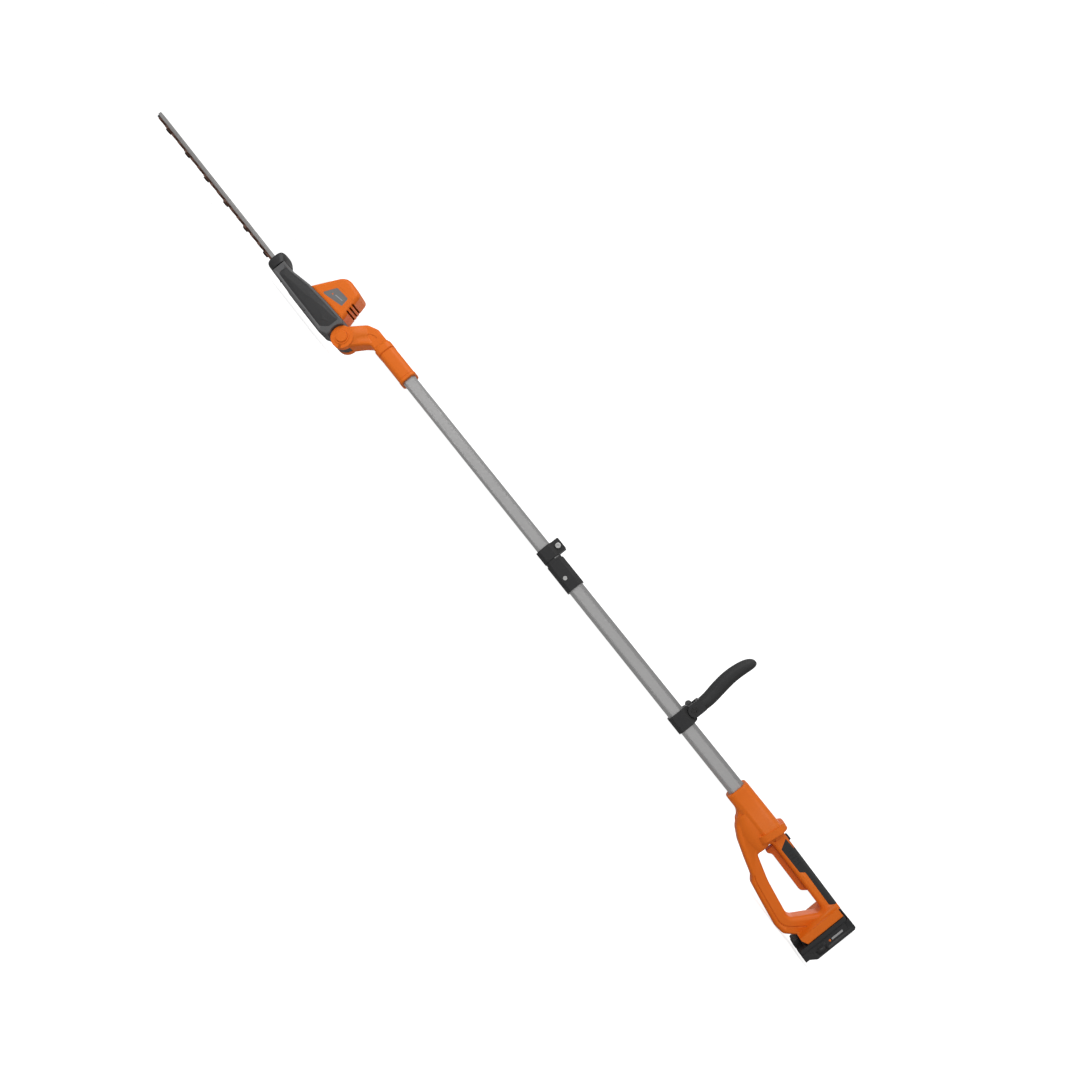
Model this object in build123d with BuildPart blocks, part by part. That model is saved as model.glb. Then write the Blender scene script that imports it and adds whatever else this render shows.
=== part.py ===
from build123d import *
import os

os.makedirs("parts", exist_ok=True)

# Cordless telescoping pole hedge trimmer, standing on its sole and its rear hand guard.
# +X runs from the blade tip to the battery, +Z is up, the pole axis lies in the Y = 0 plane.

# ---- pole ----
pole_z = 104.5
inner_size = 31.0
inner_corner = 5.6
inner_wall = 1.3
tube_gap = 0.2
outer_wall = 1.3
grow = 0.586
socket_gap = 0.1
outer_bore = inner_size + 2 * tube_gap
outer_bore_corner = inner_corner + grow * tube_gap
outer_size = outer_bore + 2 * outer_wall
outer_corner = outer_bore_corner + grow * outer_wall
inner_front = -318.0
inner_rear = 400.0
outer_front = 301.0
outer_rear = 935.0

# ---- cutting head ----
pivot_x = -396.0
pivot_z = 48.0
tip_x = -1172.0
bar_rear = -600.0
bar_width = 25.0
bar_thick = 8.0
bar_top = 41.9
blade_thick = 2.5
slide_gap = 0.2
blade_travel = 5.0
tooth_pitch = 28.6
tooth_count = 16
tooth_reach = 31.0
first_tooth_x = -1130.0
bolt_count = 6
bolt_pitch = 3 * tooth_pitch
first_bolt_x = -1121.7
bolt_shank = 8.0
nut_width = 13.0
nut_height = 3.9
bar_bottom = bar_top - bar_thick
upper_top = bar_bottom - slide_gap
upper_bottom = upper_top - blade_thick
lower_top = upper_bottom - slide_gap
lower_bottom = lower_top - blade_thick
nut_top = lower_bottom - slide_gap
gear_x = -507.0
motor_x = -478.0
crank_throw = blade_travel
eccentric_d = 16.0
axle_d = 4.0
motor_d = 36.0
motor_length = 56.0
case_half = 27.0
case_wall = 3.0
dome_half = 26.0
dome_wall = 2.5
sole_z = 14.2
sole_thick = 1.9

# ---- knuckle and elbow ----
ear_radius = 26.3
fork_half = 20.0
lug_half = 8.4
lug_gap = 0.4
pivot_bolt_d = 10.0
pin_fit = 0.05
button_radius = 13.3
button_travel = 2.4
elbow_size = inner_size + 9.8

# ---- tube clamp ----
clamp_x0 = 260.2
clamp_x1 = 289.8
sleeve_x0 = 298.7
sleeve_x1 = 366.0
sleeve_size = outer_size + 7.0
lug_top = pole_z + outer_size / 2 + 19.4
clamp_bolt_x = 275.0
clamp_bolt_z = pole_z + outer_size / 2 + 9.5
clamp_bolt_d = 6.0

# ---- front handle ----
aux_x = 701.5
aux_z = pole_z + outer_size / 2 + 14.5
aux_band = 35.4
aux_band_size = outer_size + 7.6
aux_ear_radius = 12.9
aux_ear_in = 10.8
aux_ear_out = 17.8
aux_bolt_d = 8.0

# ---- rear handle and battery ----
socket_x0 = 864.4
flange_x = 964.0
flange_lean = 8.0
shell_wall = 2.6
base_x0 = 1127.0
base_x1 = 1143.5
base_half = 38.0
base_top = 111.5
base_bottom = 23.0
battery_gap = 0.3
battery_x1 = 1172.2
battery_top = 116.3
battery_bottom = 5.4
trigger_pivot_x = 990.0
trigger_pivot_z = 97.0


def pole_block(x0, x1, size, corner):
    """Solid bar of the pole's section (square with four corner facets) between two stations."""
    with BuildPart(mode=Mode.PRIVATE) as block:
        with Locations(((x0 + x1) / 2, 0, pole_z)):
            Box(x1 - x0, size, size)
        chamfer(block.edges().filter_by(Axis.X), corner)
    return block.part


def rounded_block(x0, x1, width, z0, z1, corner, edge=0.0):
    """Box with its four lengthwise edges rounded, and its end edges too when edge is given."""
    with BuildPart(mode=Mode.PRIVATE) as block:
        with Locations(((x0 + x1) / 2, 0, (z0 + z1) / 2)):
            Box(x1 - x0, width, z1 - z0)
        fillet(block.edges().filter_by(Axis.X), corner)
        if edge > 0:
            fillet(block.faces().sort_by(Axis.X)[0].edges(), edge)
            fillet(block.faces().sort_by(Axis.X)[-1].edges(), edge)
    return block.part


def side_prism(points, y0, y1, edge=0.0, hole=()):
    """Outline in the side view (x, z, corner radius) made solid from y0 to y1."""
    with BuildPart(mode=Mode.PRIVATE) as prism:
        with BuildSketch(Plane.XZ.offset(-y1)) as face:
            Polygon(*[(x, z) for x, z, r in points], align=None)
            if hole:
                Polygon(*[(x, z) for x, z, r in hole], align=None, mode=Mode.SUBTRACT)
            for x, z, r in list(points) + list(hole):
                if r > 0:
                    fillet(face.vertices().sort_by_distance((x, z))[0], r)
        extrude(amount=y1 - y0)
        if edge > 0:
            near = prism.faces().sort_by(Axis.Y)[0].edges()
            far = prism.faces().sort_by(Axis.Y)[-1].edges()
            fillet(near + far, edge)
    return prism.part


def cross_pin(x, z, radius, y0, y1):
    """Round bar along Y."""
    with BuildPart(mode=Mode.PRIVATE) as pin:
        with Locations((x, (y0 + y1) / 2, z)):
            Cylinder(radius, y1 - y0, rotation=(90, 0, 0))
    return pin.part


def upright_pin(x, y, radius, z0, z1):
    """Round bar along Z."""
    with BuildPart(mode=Mode.PRIVATE) as pin:
        with Locations((x, y, (z0 + z1) / 2)):
            Cylinder(radius, z1 - z0)
    return pin.part


def coil(start, way, radius, wire, length, turns):
    """Compression spring that starts at a point and runs along the direction given."""
    with BuildPart(mode=Mode.PRIVATE) as spring:
        with BuildLine() as path:
            Helix(pitch=length / turns, height=length, radius=radius, center=start, direction=way)
        with BuildSketch(Plane(path.line @ 0, z_dir=path.line % 0)):
            Circle(wire / 2)
        sweep(path=path.line, is_frenet=True)
    return spring.part


def pan_screw(x, z, y_head, y_tip, radius, head_radius, head_height, way):
    """Screw along Y with a cross recess; way is the side (+1 or -1) the head faces."""
    with BuildPart(mode=Mode.PRIVATE) as screw:
        add(cross_pin(x, z, radius, min(y_head, y_tip), max(y_head, y_tip)))
        head_out = y_head + way * head_height
        add(cross_pin(x, z, head_radius, min(y_head, head_out), max(y_head, head_out)))
        with Locations((x, head_out - way * 0.5, z)):
            Box(1.2 * head_radius, 1.0, 0.35 * head_radius, mode=Mode.SUBTRACT)
            Box(0.35 * head_radius, 1.0, 1.2 * head_radius, mode=Mode.SUBTRACT)
    return screw.part


def toothed_disc(x, z0, z1, root, tip, teeth):
    """Straight-toothed gear blank with its axis along Z."""
    with BuildPart(mode=Mode.PRIVATE) as gear:
        with BuildSketch(Plane.XY.offset(z0)):
            with Locations((x, 0)):
                Circle(root)
            with Locations(Location((x, 0, 0))):
                with PolarLocations((root + tip) / 2 - 0.5, teeth):
                    Rectangle(tip - root + 1.0, 2.6)
        extrude(amount=z1 - z0)
    return gear.part


# ---------------------------------------------------------------- cutting blades
bolt_spots = [first_bolt_x + i * bolt_pitch for i in range(bolt_count)]
blade_front = first_tooth_x - tooth_pitch / 2 + 1.0
arm_front = bar_rear + blade_travel + 1.0
blade_rear = arm_front + 20.0
slot_width = bolt_shank + 0.6
slot_length = bolt_shank + 2 * blade_travel + 0.8
tongue_front = first_tooth_x + (tooth_count - 0.5) * tooth_pitch

with BuildPart() as support_bar:
    with Locations(((tip_x + bar_rear) / 2, 0, bar_top - bar_thick / 2)):
        Box(bar_rear - tip_x, bar_width, bar_thick)
    fillet(support_bar.faces().sort_by(Axis.X)[0].edges().filter_by(Axis.Z), 9.0)
    chamfer(support_bar.faces().sort_by(Axis.Z)[-1].edges(), 1.4)
    with Locations(((tip_x + bar_rear) / 2, 0, bar_top)):
        Box(bar_rear - tip_x - 60, 5.0, 2.4, mode=Mode.SUBTRACT)
    for x in bolt_spots:
        with Locations((x, 0, bar_top - 2.0)):
            Cylinder(6.8, 4.0, mode=Mode.SUBTRACT)
        with Locations((x, 0, bar_top - bar_thick / 2)):
            Cylinder(bolt_shank / 2, bar_thick, mode=Mode.SUBTRACT)
support_bar.part.label = "support_bar"
export_step(support_bar.part, "parts/support_bar.step")

guard_front = tip_x + 3.0
guard_rear = blade_front - blade_travel - 1.2
with BuildPart() as tip_guard:
    with Locations(((guard_front + guard_rear) / 2, 0, (bar_bottom + lower_bottom) / 2)):
        Box(guard_rear - guard_front, bar_width - 1.0, bar_bottom - lower_bottom)
    fillet(tip_guard.faces().sort_by(Axis.X)[0].edges().filter_by(Axis.Z), 8.0)
    chamfer(tip_guard.faces().sort_by(Axis.Z)[0].edges(), 0.8)
tip_guard.part.label = "tip_guard"
export_step(tip_guard.part, "parts/tip_guard.step")


def blade_plate(z0):
    """One toothed cutting plate with its guide slots, bottom face at z0."""
    with BuildPart(mode=Mode.PRIVATE) as plate:
        with BuildSketch(Plane.XY.offset(z0)):
            with Locations(((blade_front + tongue_front) / 2, 0)):
                Rectangle(tongue_front - blade_front, 2 * 12.0)
            with Locations(((tongue_front + blade_rear) / 2 - 1.0, 0)):
                Rectangle(blade_rear - tongue_front + 2.0, 22.0)
            for i in range(tooth_count):
                x = first_tooth_x + i * tooth_pitch
                for side in (-1, 1):
                    Polygon(
                        (x - 9.5, side * 11.0),
                        (x - 4.6, side * tooth_reach),
                        (x + 4.6, side * tooth_reach),
                        (x + 9.5, side * 11.0),
                        align=None,
                    )
            for x in bolt_spots:
                with Locations((x, 0)):
                    SlotOverall(slot_length, slot_width, mode=Mode.SUBTRACT)
        extrude(amount=blade_thick)
    return plate.part


def yoke_plate(z0, z1):
    """Frame the eccentric turns in, with its arm that runs forward onto the blade tongue."""
    opening_x = eccentric_d + 4 * crank_throw + 1.2
    opening_y = eccentric_d + 2 * crank_throw + 1.2
    with BuildPart(mode=Mode.PRIVATE) as yoke:
        with BuildSketch(Plane.XY.offset(z0)):
            with Locations((gear_x, 0)):
                RectangleRounded(opening_x + 9.0, opening_y + 9.0, 4.0)
            arm_rear = gear_x - opening_x / 2
            with Locations(((arm_front + arm_rear) / 2, 0)):
                Rectangle(arm_rear - arm_front, 15.0)
            with Locations((gear_x, 0)):
                RectangleRounded(opening_x, opening_y, 2.0, mode=Mode.SUBTRACT)
        extrude(amount=z1 - z0)
    return yoke.part


with BuildPart() as upper_blade:
    add(blade_plate(upper_bottom))
    add(yoke_plate(upper_top, upper_top + 3.6))
upper_blade.part.label = "upper_blade"
export_step(upper_blade.part, "parts/upper_blade.step")

with BuildPart() as lower_blade:
    add(blade_plate(lower_bottom))
    add(yoke_plate(lower_bottom - 3.6, lower_bottom))
lower_blade.part.label = "lower_blade"
export_step(lower_blade.part, "parts/lower_blade.step")

with BuildPart() as blade_bolts:
    for x in bolt_spots:
        with Locations((x, 0, bar_top - 2.2)):
            Cylinder(6.5, 3.6)
        with Locations((x, 0, bar_top - 0.9)):
            Cylinder(3.4, 1.0, mode=Mode.SUBTRACT)
        with Locations((x, 0, (bar_top - 4.0 + nut_top) / 2)):
            Cylinder(bolt_shank / 2 - pin_fit, bar_top - 4.0 - nut_top)
        with Locations((x, 0, nut_top - (nut_height + 0.4) / 2)):
            Cylinder(3.0, nut_height + 0.4)
blade_bolts.part.label = "blade_bolts"
export_step(blade_bolts.part, "parts/blade_bolts.step")

with BuildPart() as blade_nuts:
    for x in bolt_spots:
        with BuildSketch(Plane.XY.offset(nut_top - nut_height)):
            with Locations((x, 0)):
                RegularPolygon(nut_width / 2, 6, major_radius=False)
                Circle(3.0, mode=Mode.SUBTRACT)
        extrude(amount=nut_height - 1.2)
        with BuildSketch(Plane.XY.offset(nut_top - 1.2)):
            with Locations((x, 0)):
                Circle(8.2)
                Circle(3.0, mode=Mode.SUBTRACT)
        extrude(amount=1.2)
blade_nuts.part.label = "blade_nuts"
export_step(blade_nuts.part, "parts/blade_nuts.step")

# ---------------------------------------------------------------- head case
case_outline = [
    (-630.0, sole_z + 2.6, 0), (-577.0, sole_z + 1.7, 0), (-540.0, sole_z, 0),
    (-439.0, sole_z, 0), (-419.6, 25.4, 0),
]
case_top = [
    (-416.6, 68.6, 0), (-424.0, 73.0, 0), (-482.5, 70.3, 0), (-545.0, 64.6, 0),
    (-581.0, 57.0, 0), (-600.0, 52.6, 0), (-630.0, 52.4, 0),
]
case_inner = [
    (-630.0, 19.5, 0), (-577.0, 18.6, 0), (-444.0, 18.6, 0), (-444.0, 66.0, 0),
    (-482.5, 66.6, 0), (-545.0, 61.0, 0), (-581.0, 53.4, 0), (-600.0, 49.0, 0), (-630.0, 48.8, 0),
]
panel_outline = [
    (-613.0, 25.5, 6.0), (-540.0, 24.6, 0), (-446.0, 24.6, 8.0), (-431.0, 40.0, 10.0),
    (-431.0, 66.6, 3.0), (-482.5, 64.2, 0), (-545.0, 58.4, 0), (-583.0, 50.4, 0), (-613.0, 46.4, 6.0),
]
cover_outline = [
    (-543.0, 62.0, 0), (-500.2, 143.6, 30.0), (-443.6, 137.4, 11.0), (-425.4, 70.0, 0),
]
cover_inner = [
    (-538.5, 62.0, 0), (-498.6, 140.4, 27.0), (-445.8, 134.8, 8.0), (-428.6, 70.0, 0),
]
label_outline = [
    (-492.0, 108.6, 3.0), (-454.6, 111.6, 3.0), (-450.6, 90.6, 3.0), (-508.0, 75.4, 3.0),
]
case_screw_spots = [(-605.0, 46.0), (-566.0, 20.4), (-449.0, 20.8), (-553.0, 57.0)]
cover_screw_spots = [(-530.0, 70.5), (-436.0, 76.5), (-492.0, 134.5)]
lug_tongue = [(-441.0, 32.0, 2.0), (-396.0, 28.0, 0), (-396.0, 68.0, 0), (-441.0, 64.0, 2.0)]

knuckle_clear = cross_pin(pivot_x, pivot_z, ear_radius + 1.6, -60, 60)
case_cut = side_prism(case_inner, -case_half + case_wall, case_half - case_wall)
case_bosses = [cross_pin(x, z, 3.6, -case_half + 2, case_half - 2) for x, z in case_screw_spots]
cover_prism = side_prism(cover_outline, -dome_half, dome_half, 9.0)
panel_pocket_n = side_prism(panel_outline, -case_half - 5, -case_half + 1.4)
panel_pocket_f = side_prism(panel_outline, case_half - 1.4, case_half + 5)
tongue_pocket = side_prism(lug_tongue, -lug_half, lug_half)
label_pocket_n = side_prism(label_outline, -dome_half - 5, -dome_half + 1.2)
label_pocket_f = side_prism(label_outline, dome_half - 1.2, dome_half + 5)

with BuildPart() as case_body:
    add(side_prism(case_outline + case_top, -case_half, case_half, 4.0))
    add(case_cut, mode=Mode.SUBTRACT)
    for boss in case_bosses:
        add(boss)
    with Locations((gear_x, 0, sole_z + 4.0)):
        Cylinder(7.0, 5.0)
    with Locations((gear_x, 0, 62.0)):
        Cylinder(7.0, 7.0)
    add(knuckle_clear, mode=Mode.SUBTRACT)
    add(panel_pocket_n, mode=Mode.SUBTRACT)
    add(panel_pocket_f, mode=Mode.SUBTRACT)
    add(tongue_pocket, mode=Mode.SUBTRACT)
    with Locations(((-445.0 - 560.0) / 2, 0, sole_z)):
        Box(120.0, 44.0, 2 * sole_thick, mode=Mode.SUBTRACT)
    with Locations((-625.0, 0, (bar_top + lower_bottom - nut_height) / 2 + 0.1)):
        Box(60.0, 27.0, bar_top - lower_bottom + nut_height + 1.2, mode=Mode.SUBTRACT)
    with Locations((-620.0, 0, (upper_top + lower_bottom) / 2)):
        Box(40.0, 34.0, 2 * blade_thick + 2.0, mode=Mode.SUBTRACT)
    add(upright_pin(gear_x, 0, axle_d / 2, sole_z + 2.0, 66.0), mode=Mode.SUBTRACT)
    add(upright_pin(motor_x, 0, motor_d / 2 + 0.4, 60.0, 90.0), mode=Mode.SUBTRACT)
    for x, z in case_screw_spots:
        add(cross_pin(x, z, 1.6, -14, 40), mode=Mode.SUBTRACT)
        add(cross_pin(x, z, 3.7, case_half - 4.0, 40), mode=Mode.SUBTRACT)

with BuildPart() as case_left:
    add(case_body.part)
    split(bisect_by=Plane.XZ, keep=Keep.TOP)
case_left.part.label = "case_left"
export_step(case_left.part, "parts/case_left.step")

with BuildPart() as case_right:
    add(case_body.part)
    split(bisect_by=Plane.XZ, keep=Keep.BOTTOM)
case_right.part.label = "case_right"
export_step(case_right.part, "parts/case_right.step")

with BuildPart() as side_panel_left:
    add(side_prism(panel_outline, -case_half - 1.0, -case_half + 1.3))
    chamfer(side_panel_left.faces().sort_by(Axis.Y)[0].edges(), 0.7)
side_panel_left.part.label = "side_panel_left"
export_step(side_panel_left.part, "parts/side_panel_left.step")

with BuildPart() as side_panel_right:
    add(side_prism(panel_outline, case_half - 1.3, case_half + 1.0))
    chamfer(side_panel_right.faces().sort_by(Axis.Y)[-1].edges(), 0.7)
    for x, z in case_screw_spots:
        add(cross_pin(x, z, 4.4, 0, 60), mode=Mode.SUBTRACT)
side_panel_right.part.label = "side_panel_right"
export_step(side_panel_right.part, "parts/side_panel_right.step")

with BuildPart() as case_sole:
    with Locations(((-445.0 - 560.0) / 2, 0, sole_z + sole_thick / 2)):
        Box(118.8, 43.0, sole_thick - 0.1)
    chamfer(case_sole.faces().sort_by(Axis.Z)[0].edges(), 0.5)
case_sole.part.label = "case_sole"
export_step(case_sole.part, "parts/case_sole.step")

with BuildPart() as blade_collar:
    add(rounded_block(-657.4, -630.2, 54.0, 15.8, 64.0, 13.0, 4.0))
    with Locations((-640.0, 0, (bar_top + lower_bottom - nut_height) / 2 + 0.1)):
        Box(60.0, 27.0, bar_top - lower_bottom + nut_height + 1.2, mode=Mode.SUBTRACT)
    with Locations((-640.0, 0, (upper_top + lower_bottom) / 2)):
        Box(60.0, 34.0, 2 * blade_thick + 2.0, mode=Mode.SUBTRACT)
blade_collar.part.label = "blade_collar"
export_step(blade_collar.part, "parts/blade_collar.step")

# ---------------------------------------------------------------- motor cover
with BuildPart() as cover_body:
    add(cover_prism)
    add(side_prism(cover_inner, -dome_half + dome_wall, dome_half - dome_wall, 6.0), mode=Mode.SUBTRACT)
    for x, z in cover_screw_spots:
        add(cross_pin(x, z, 3.8, -dome_half + 1.0, dome_half - 1.0))
    add(side_prism(case_outline + case_top, -case_half - 5, case_half + 5), mode=Mode.SUBTRACT)
    add(label_pocket_n, mode=Mode.SUBTRACT)
    add(label_pocket_f, mode=Mode.SUBTRACT)
    add(upright_pin(motor_x, 0, motor_d / 2 + 0.4, 60.0, 126.0), mode=Mode.SUBTRACT)
    for i in range(3):
        with Locations((-432.0 + 2.4 * i, 0, 111.5 - 9.3 * i)):
            Box(17.0, 2 * dome_half + 4, 4.0, mode=Mode.SUBTRACT)
    for x, z in cover_screw_spots:
        add(cross_pin(x, z, 1.6, -14, 40), mode=Mode.SUBTRACT)
        add(cross_pin(x, z, 3.4, dome_half - 3.0, 40), mode=Mode.SUBTRACT)

with BuildPart() as motor_cover_left:
    add(cover_body.part)
    split(bisect_by=Plane.XZ, keep=Keep.TOP)
motor_cover_left.part.label = "motor_cover_left"
export_step(motor_cover_left.part, "parts/motor_cover_left.step")

with BuildPart() as motor_cover_right:
    add(cover_body.part)
    split(bisect_by=Plane.XZ, keep=Keep.BOTTOM)
motor_cover_right.part.label = "motor_cover_right"
export_step(motor_cover_right.part, "parts/motor_cover_right.step")

with BuildPart() as label_left:
    add(side_prism(label_outline, -dome_half + 0.1, -dome_half + 1.2))
label_left.part.label = "label_left"
export_step(label_left.part, "parts/label_left.step")

with BuildPart() as label_right:
    add(side_prism(label_outline, dome_half - 1.2, dome_half - 0.1))
label_right.part.label = "label_right"
export_step(label_right.part, "parts/label_right.step")

with BuildPart() as head_screws:
    for x, z in case_screw_spots:
        add(pan_screw(x, z, case_half - 4.0, -13, 1.5, 3.2, 2.2, 1))
    for x, z in cover_screw_spots:
        add(pan_screw(x, z, dome_half - 3.0, -13, 1.5, 3.2, 2.0, 1))
head_screws.part.label = "head_screws"
export_step(head_screws.part, "parts/head_screws.step")

# ---------------------------------------------------------------- drive train
gear_z0 = 44.0
gear_z1 = 52.0
pinion_tip = 5.8
gear_tip = motor_x - gear_x - pinion_tip - 0.4
with BuildPart() as motor_can:
    with Locations((motor_x, 0, 62.0 + motor_length / 2)):
        Cylinder(motor_d / 2, motor_length)
    fillet(motor_can.edges().filter_by(GeomType.CIRCLE), 1.5)
    with Locations((motor_x, 0, 62.0 + motor_length + 1.5)):
        Cylinder(6.0, 3.0)
    with Locations((motor_x, 0, 60.8)):
        Cylinder(6.0, 2.6)
    add(upright_pin(motor_x, 0, 2.3, 50.0, 122.0), mode=Mode.SUBTRACT)
motor_can.part.label = "motor_can"
export_step(motor_can.part, "parts/motor_can.step")

with BuildPart() as motor_pinion:
    add(toothed_disc(motor_x, gear_z0, gear_z1, 3.6, pinion_tip, 8))
    add(upright_pin(motor_x, 0, 2.2, gear_z0 - 3.0, 116.0))
motor_pinion.part.label = "motor_pinion"
export_step(motor_pinion.part, "parts/motor_pinion.step")

with BuildPart() as drive_gear:
    add(toothed_disc(gear_x, gear_z0, gear_z1, gear_tip - 2.2, gear_tip, 36))
    with Locations((gear_x, 0, 0)):
        with PolarLocations(14.0, 5):
            with Locations((0, 0, gear_z1)):
                Cylinder(4.0, 6.0, mode=Mode.SUBTRACT)
    add(upright_pin(gear_x, 0, 6.0, gear_z1, gear_z1 + 5.0))
    add(upright_pin(gear_x, 0, 9.0, upper_top + 4.2, gear_z0))
    add(upright_pin(gear_x, crank_throw, eccentric_d / 2, upper_top + 0.3, upper_top + 4.2))
    add(upright_pin(gear_x, 0, 2.8, lower_bottom - 1.0, upper_top + 2.0))
    add(upright_pin(gear_x, -crank_throw, eccentric_d / 2, lower_bottom - 3.4, lower_bottom - 0.2))
    add(upright_pin(gear_x, 0, axle_d / 2 + pin_fit, 0, 90), mode=Mode.SUBTRACT)
drive_gear.part.label = "drive_gear"
export_step(drive_gear.part, "parts/drive_gear.step")

with BuildPart() as gear_axle:
    add(upright_pin(gear_x, 0, axle_d / 2, sole_z + 2.2, 65.0))
gear_axle.part.label = "gear_axle"
export_step(gear_axle.part, "parts/gear_axle.step")

# ---------------------------------------------------------------- knuckle
button_floor = -fork_half + 7.0
with BuildPart() as head_lug:
    add(cross_pin(pivot_x, pivot_z, ear_radius - 0.6, -lug_half, lug_half))
    fillet(head_lug.edges().filter_by(GeomType.CIRCLE), 1.2)
    for y in (-3.2, 3.2):
        with BuildSketch(Plane.XZ.offset(-y - 0.9)):
            with Locations((pivot_x, pivot_z)):
                Circle(ear_radius + 2)
                Circle(ear_radius - 2.2, mode=Mode.SUBTRACT)
        extrude(amount=1.8, mode=Mode.SUBTRACT)
    add(side_prism(lug_tongue, -lug_half, lug_half))
    add(cross_pin(pivot_x, pivot_z, pivot_bolt_d / 2 + pin_fit, -40, 40), mode=Mode.SUBTRACT)
head_lug.part.label = "head_lug"
export_step(head_lug.part, "parts/head_lug.step")

arm_outline = [
    (-414.5, 66.4, 0), (-381.6, 110.0, 16.0), (-357.0, 121.6, 16.0), (-316.0, 121.6, 0),
    (-316.0, 86.0, 0), (-339.0, 86.0, 10.0), (-351.0, 73.0, 12.0), (-371.0, 43.0, 0),
    (-396.0, 60.0, 0),
]
elbow_screw_spots = [(-372.0, 92.0), (-346.0, 97.0)]
fork_slot_half = lug_half + lug_gap
# front and rear station, extra size, corner radius and end radius of each ring of the elbow's socket
elbow_rings = [
    (-326.0, -222.0, -3.0, 12.0, 0.0),
    (-321.5, -304.0, 1.6, 13.0, 3.0),
    (-302.0, -229.0, 0.0, 12.5, 1.0),
    (-229.0, -220.5, 1.6, 13.0, 2.0),
]
with BuildPart() as elbow_body:
    add(side_prism(arm_outline, -fork_half + 2.6, fork_half - 2.6, 5.0))
    add(cross_pin(pivot_x, pivot_z, ear_radius, -fork_half, fork_half))
    for x0, x1, extra, corner, edge in elbow_rings:
        half = (elbow_size + extra) / 2
        add(rounded_block(x0, x1, 2 * half, pole_z - half, pole_z + half, corner, edge))
    with BuildSketch(Plane.XZ.offset(fork_half)):
        with Locations((pivot_x, pivot_z)):
            Circle(17.6)
            Circle(button_radius + 0.3, mode=Mode.SUBTRACT)
    extrude(amount=1.0)
    add(cross_pin(pivot_x, pivot_z, ear_radius + 1.0, -fork_slot_half, fork_slot_half), mode=Mode.SUBTRACT)
    add(side_prism([(-440, 20, 0), (-396, 20, 0), (-396, 64, 0), (-440, 72, 0)],
        -fork_slot_half, fork_slot_half), mode=Mode.SUBTRACT)
    add(cross_pin(pivot_x, pivot_z, pivot_bolt_d / 2 + pin_fit, -40, 40), mode=Mode.SUBTRACT)
    add(cross_pin(pivot_x, pivot_z, button_radius + 0.3, -40, button_floor), mode=Mode.SUBTRACT)
    with BuildSketch(Plane.XZ.offset(-fork_half + 4.6)):
        with Locations((pivot_x, pivot_z)):
            RegularPolygon(8.6, 6, major_radius=False)
    extrude(amount=-20.0, mode=Mode.SUBTRACT)
    add(pole_block(inner_front - 0.1, -200.0, inner_size + 2 * socket_gap, inner_corner + grow * socket_gap),
        mode=Mode.SUBTRACT)
    with Locations((-343.0, 0, 104.0)):
        Box(36.0, 14.0, 12.0, mode=Mode.SUBTRACT)
    for x, z in elbow_screw_spots:
        add(cross_pin(x, z, 1.6, -10, 40), mode=Mode.SUBTRACT)
        add(cross_pin(x, z, 3.4, fork_half - 6.0, 40), mode=Mode.SUBTRACT)

with BuildPart() as elbow_left:
    add(elbow_body.part)
    split(bisect_by=Plane.XZ, keep=Keep.TOP)
elbow_left.part.label = "elbow_left"
export_step(elbow_left.part, "parts/elbow_left.step")

with BuildPart() as elbow_right:
    add(elbow_body.part)
    split(bisect_by=Plane.XZ, keep=Keep.BOTTOM)
elbow_right.part.label = "elbow_right"
export_step(elbow_right.part, "parts/elbow_right.step")

with BuildPart() as pivot_bolt:
    add(cross_pin(pivot_x, pivot_z, pivot_bolt_d / 2, button_floor + 0.3, fork_half - 4.6))
    with BuildSketch(Plane.XZ.offset(-fork_half + 4.6)):
        with Locations((pivot_x, pivot_z)):
            RegularPolygon(8.5, 6, major_radius=False)
    extrude(amount=-5.0)
    chamfer(pivot_bolt.faces().sort_by(Axis.Y)[-1].edges(), 0.6)
pivot_bolt.part.label = "pivot_bolt"
export_step(pivot_bolt.part, "parts/pivot_bolt.step")

with BuildPart() as tilt_button:
    add(cross_pin(pivot_x, pivot_z, button_radius, -fork_half - 3.4, button_floor - button_travel - 0.3))
    fillet(tilt_button.faces().sort_by(Axis.Y)[0].edges(), 1.6)
    add(cross_pin(pivot_x, pivot_z, 9.5, -fork_half + 0.6, 0), mode=Mode.SUBTRACT)
tilt_button.part.label = "tilt_button"
export_step(tilt_button.part, "parts/tilt_button.step")

with BuildPart() as tilt_spring:
    spring_length = fork_half + button_floor - 2.2
    add(coil((pivot_x, button_floor - 0.8, pivot_z), (0, -1, 0), 7.6, 1.0, spring_length, 3.5))
tilt_spring.part.label = "tilt_spring"
export_step(tilt_spring.part, "parts/tilt_spring.step")

with BuildPart() as elbow_screws:
    for x, z in elbow_screw_spots:
        add(pan_screw(x, z, fork_half - 6.0, -9.5, 1.5, 3.1, 2.2, 1))
elbow_screws.part.label = "elbow_screws"
export_step(elbow_screws.part, "parts/elbow_screws.step")

# ---------------------------------------------------------------- tubes
with BuildPart() as inner_tube:
    add(pole_block(inner_front, inner_rear, inner_size, inner_corner))
    add(pole_block(inner_front - 1, inner_rear + 1, inner_size - 2 * inner_wall,
        inner_corner - grow * inner_wall), mode=Mode.SUBTRACT)
inner_tube.part.label = "inner_tube"
export_step(inner_tube.part, "parts/inner_tube.step")

with BuildPart() as inner_plug:
    add(pole_block(inner_rear - 22.0, inner_rear, inner_size - 2 * inner_wall - 0.1,
        inner_corner - grow * inner_wall))
    add(pole_block(inner_rear, inner_rear + 4.0, inner_size, inner_corner))
    with Locations((inner_rear, 0, pole_z)):
        Box(60.0, 12.0, 12.0, mode=Mode.SUBTRACT)
inner_plug.part.label = "inner_plug"
export_step(inner_plug.part, "parts/inner_plug.step")

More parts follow.
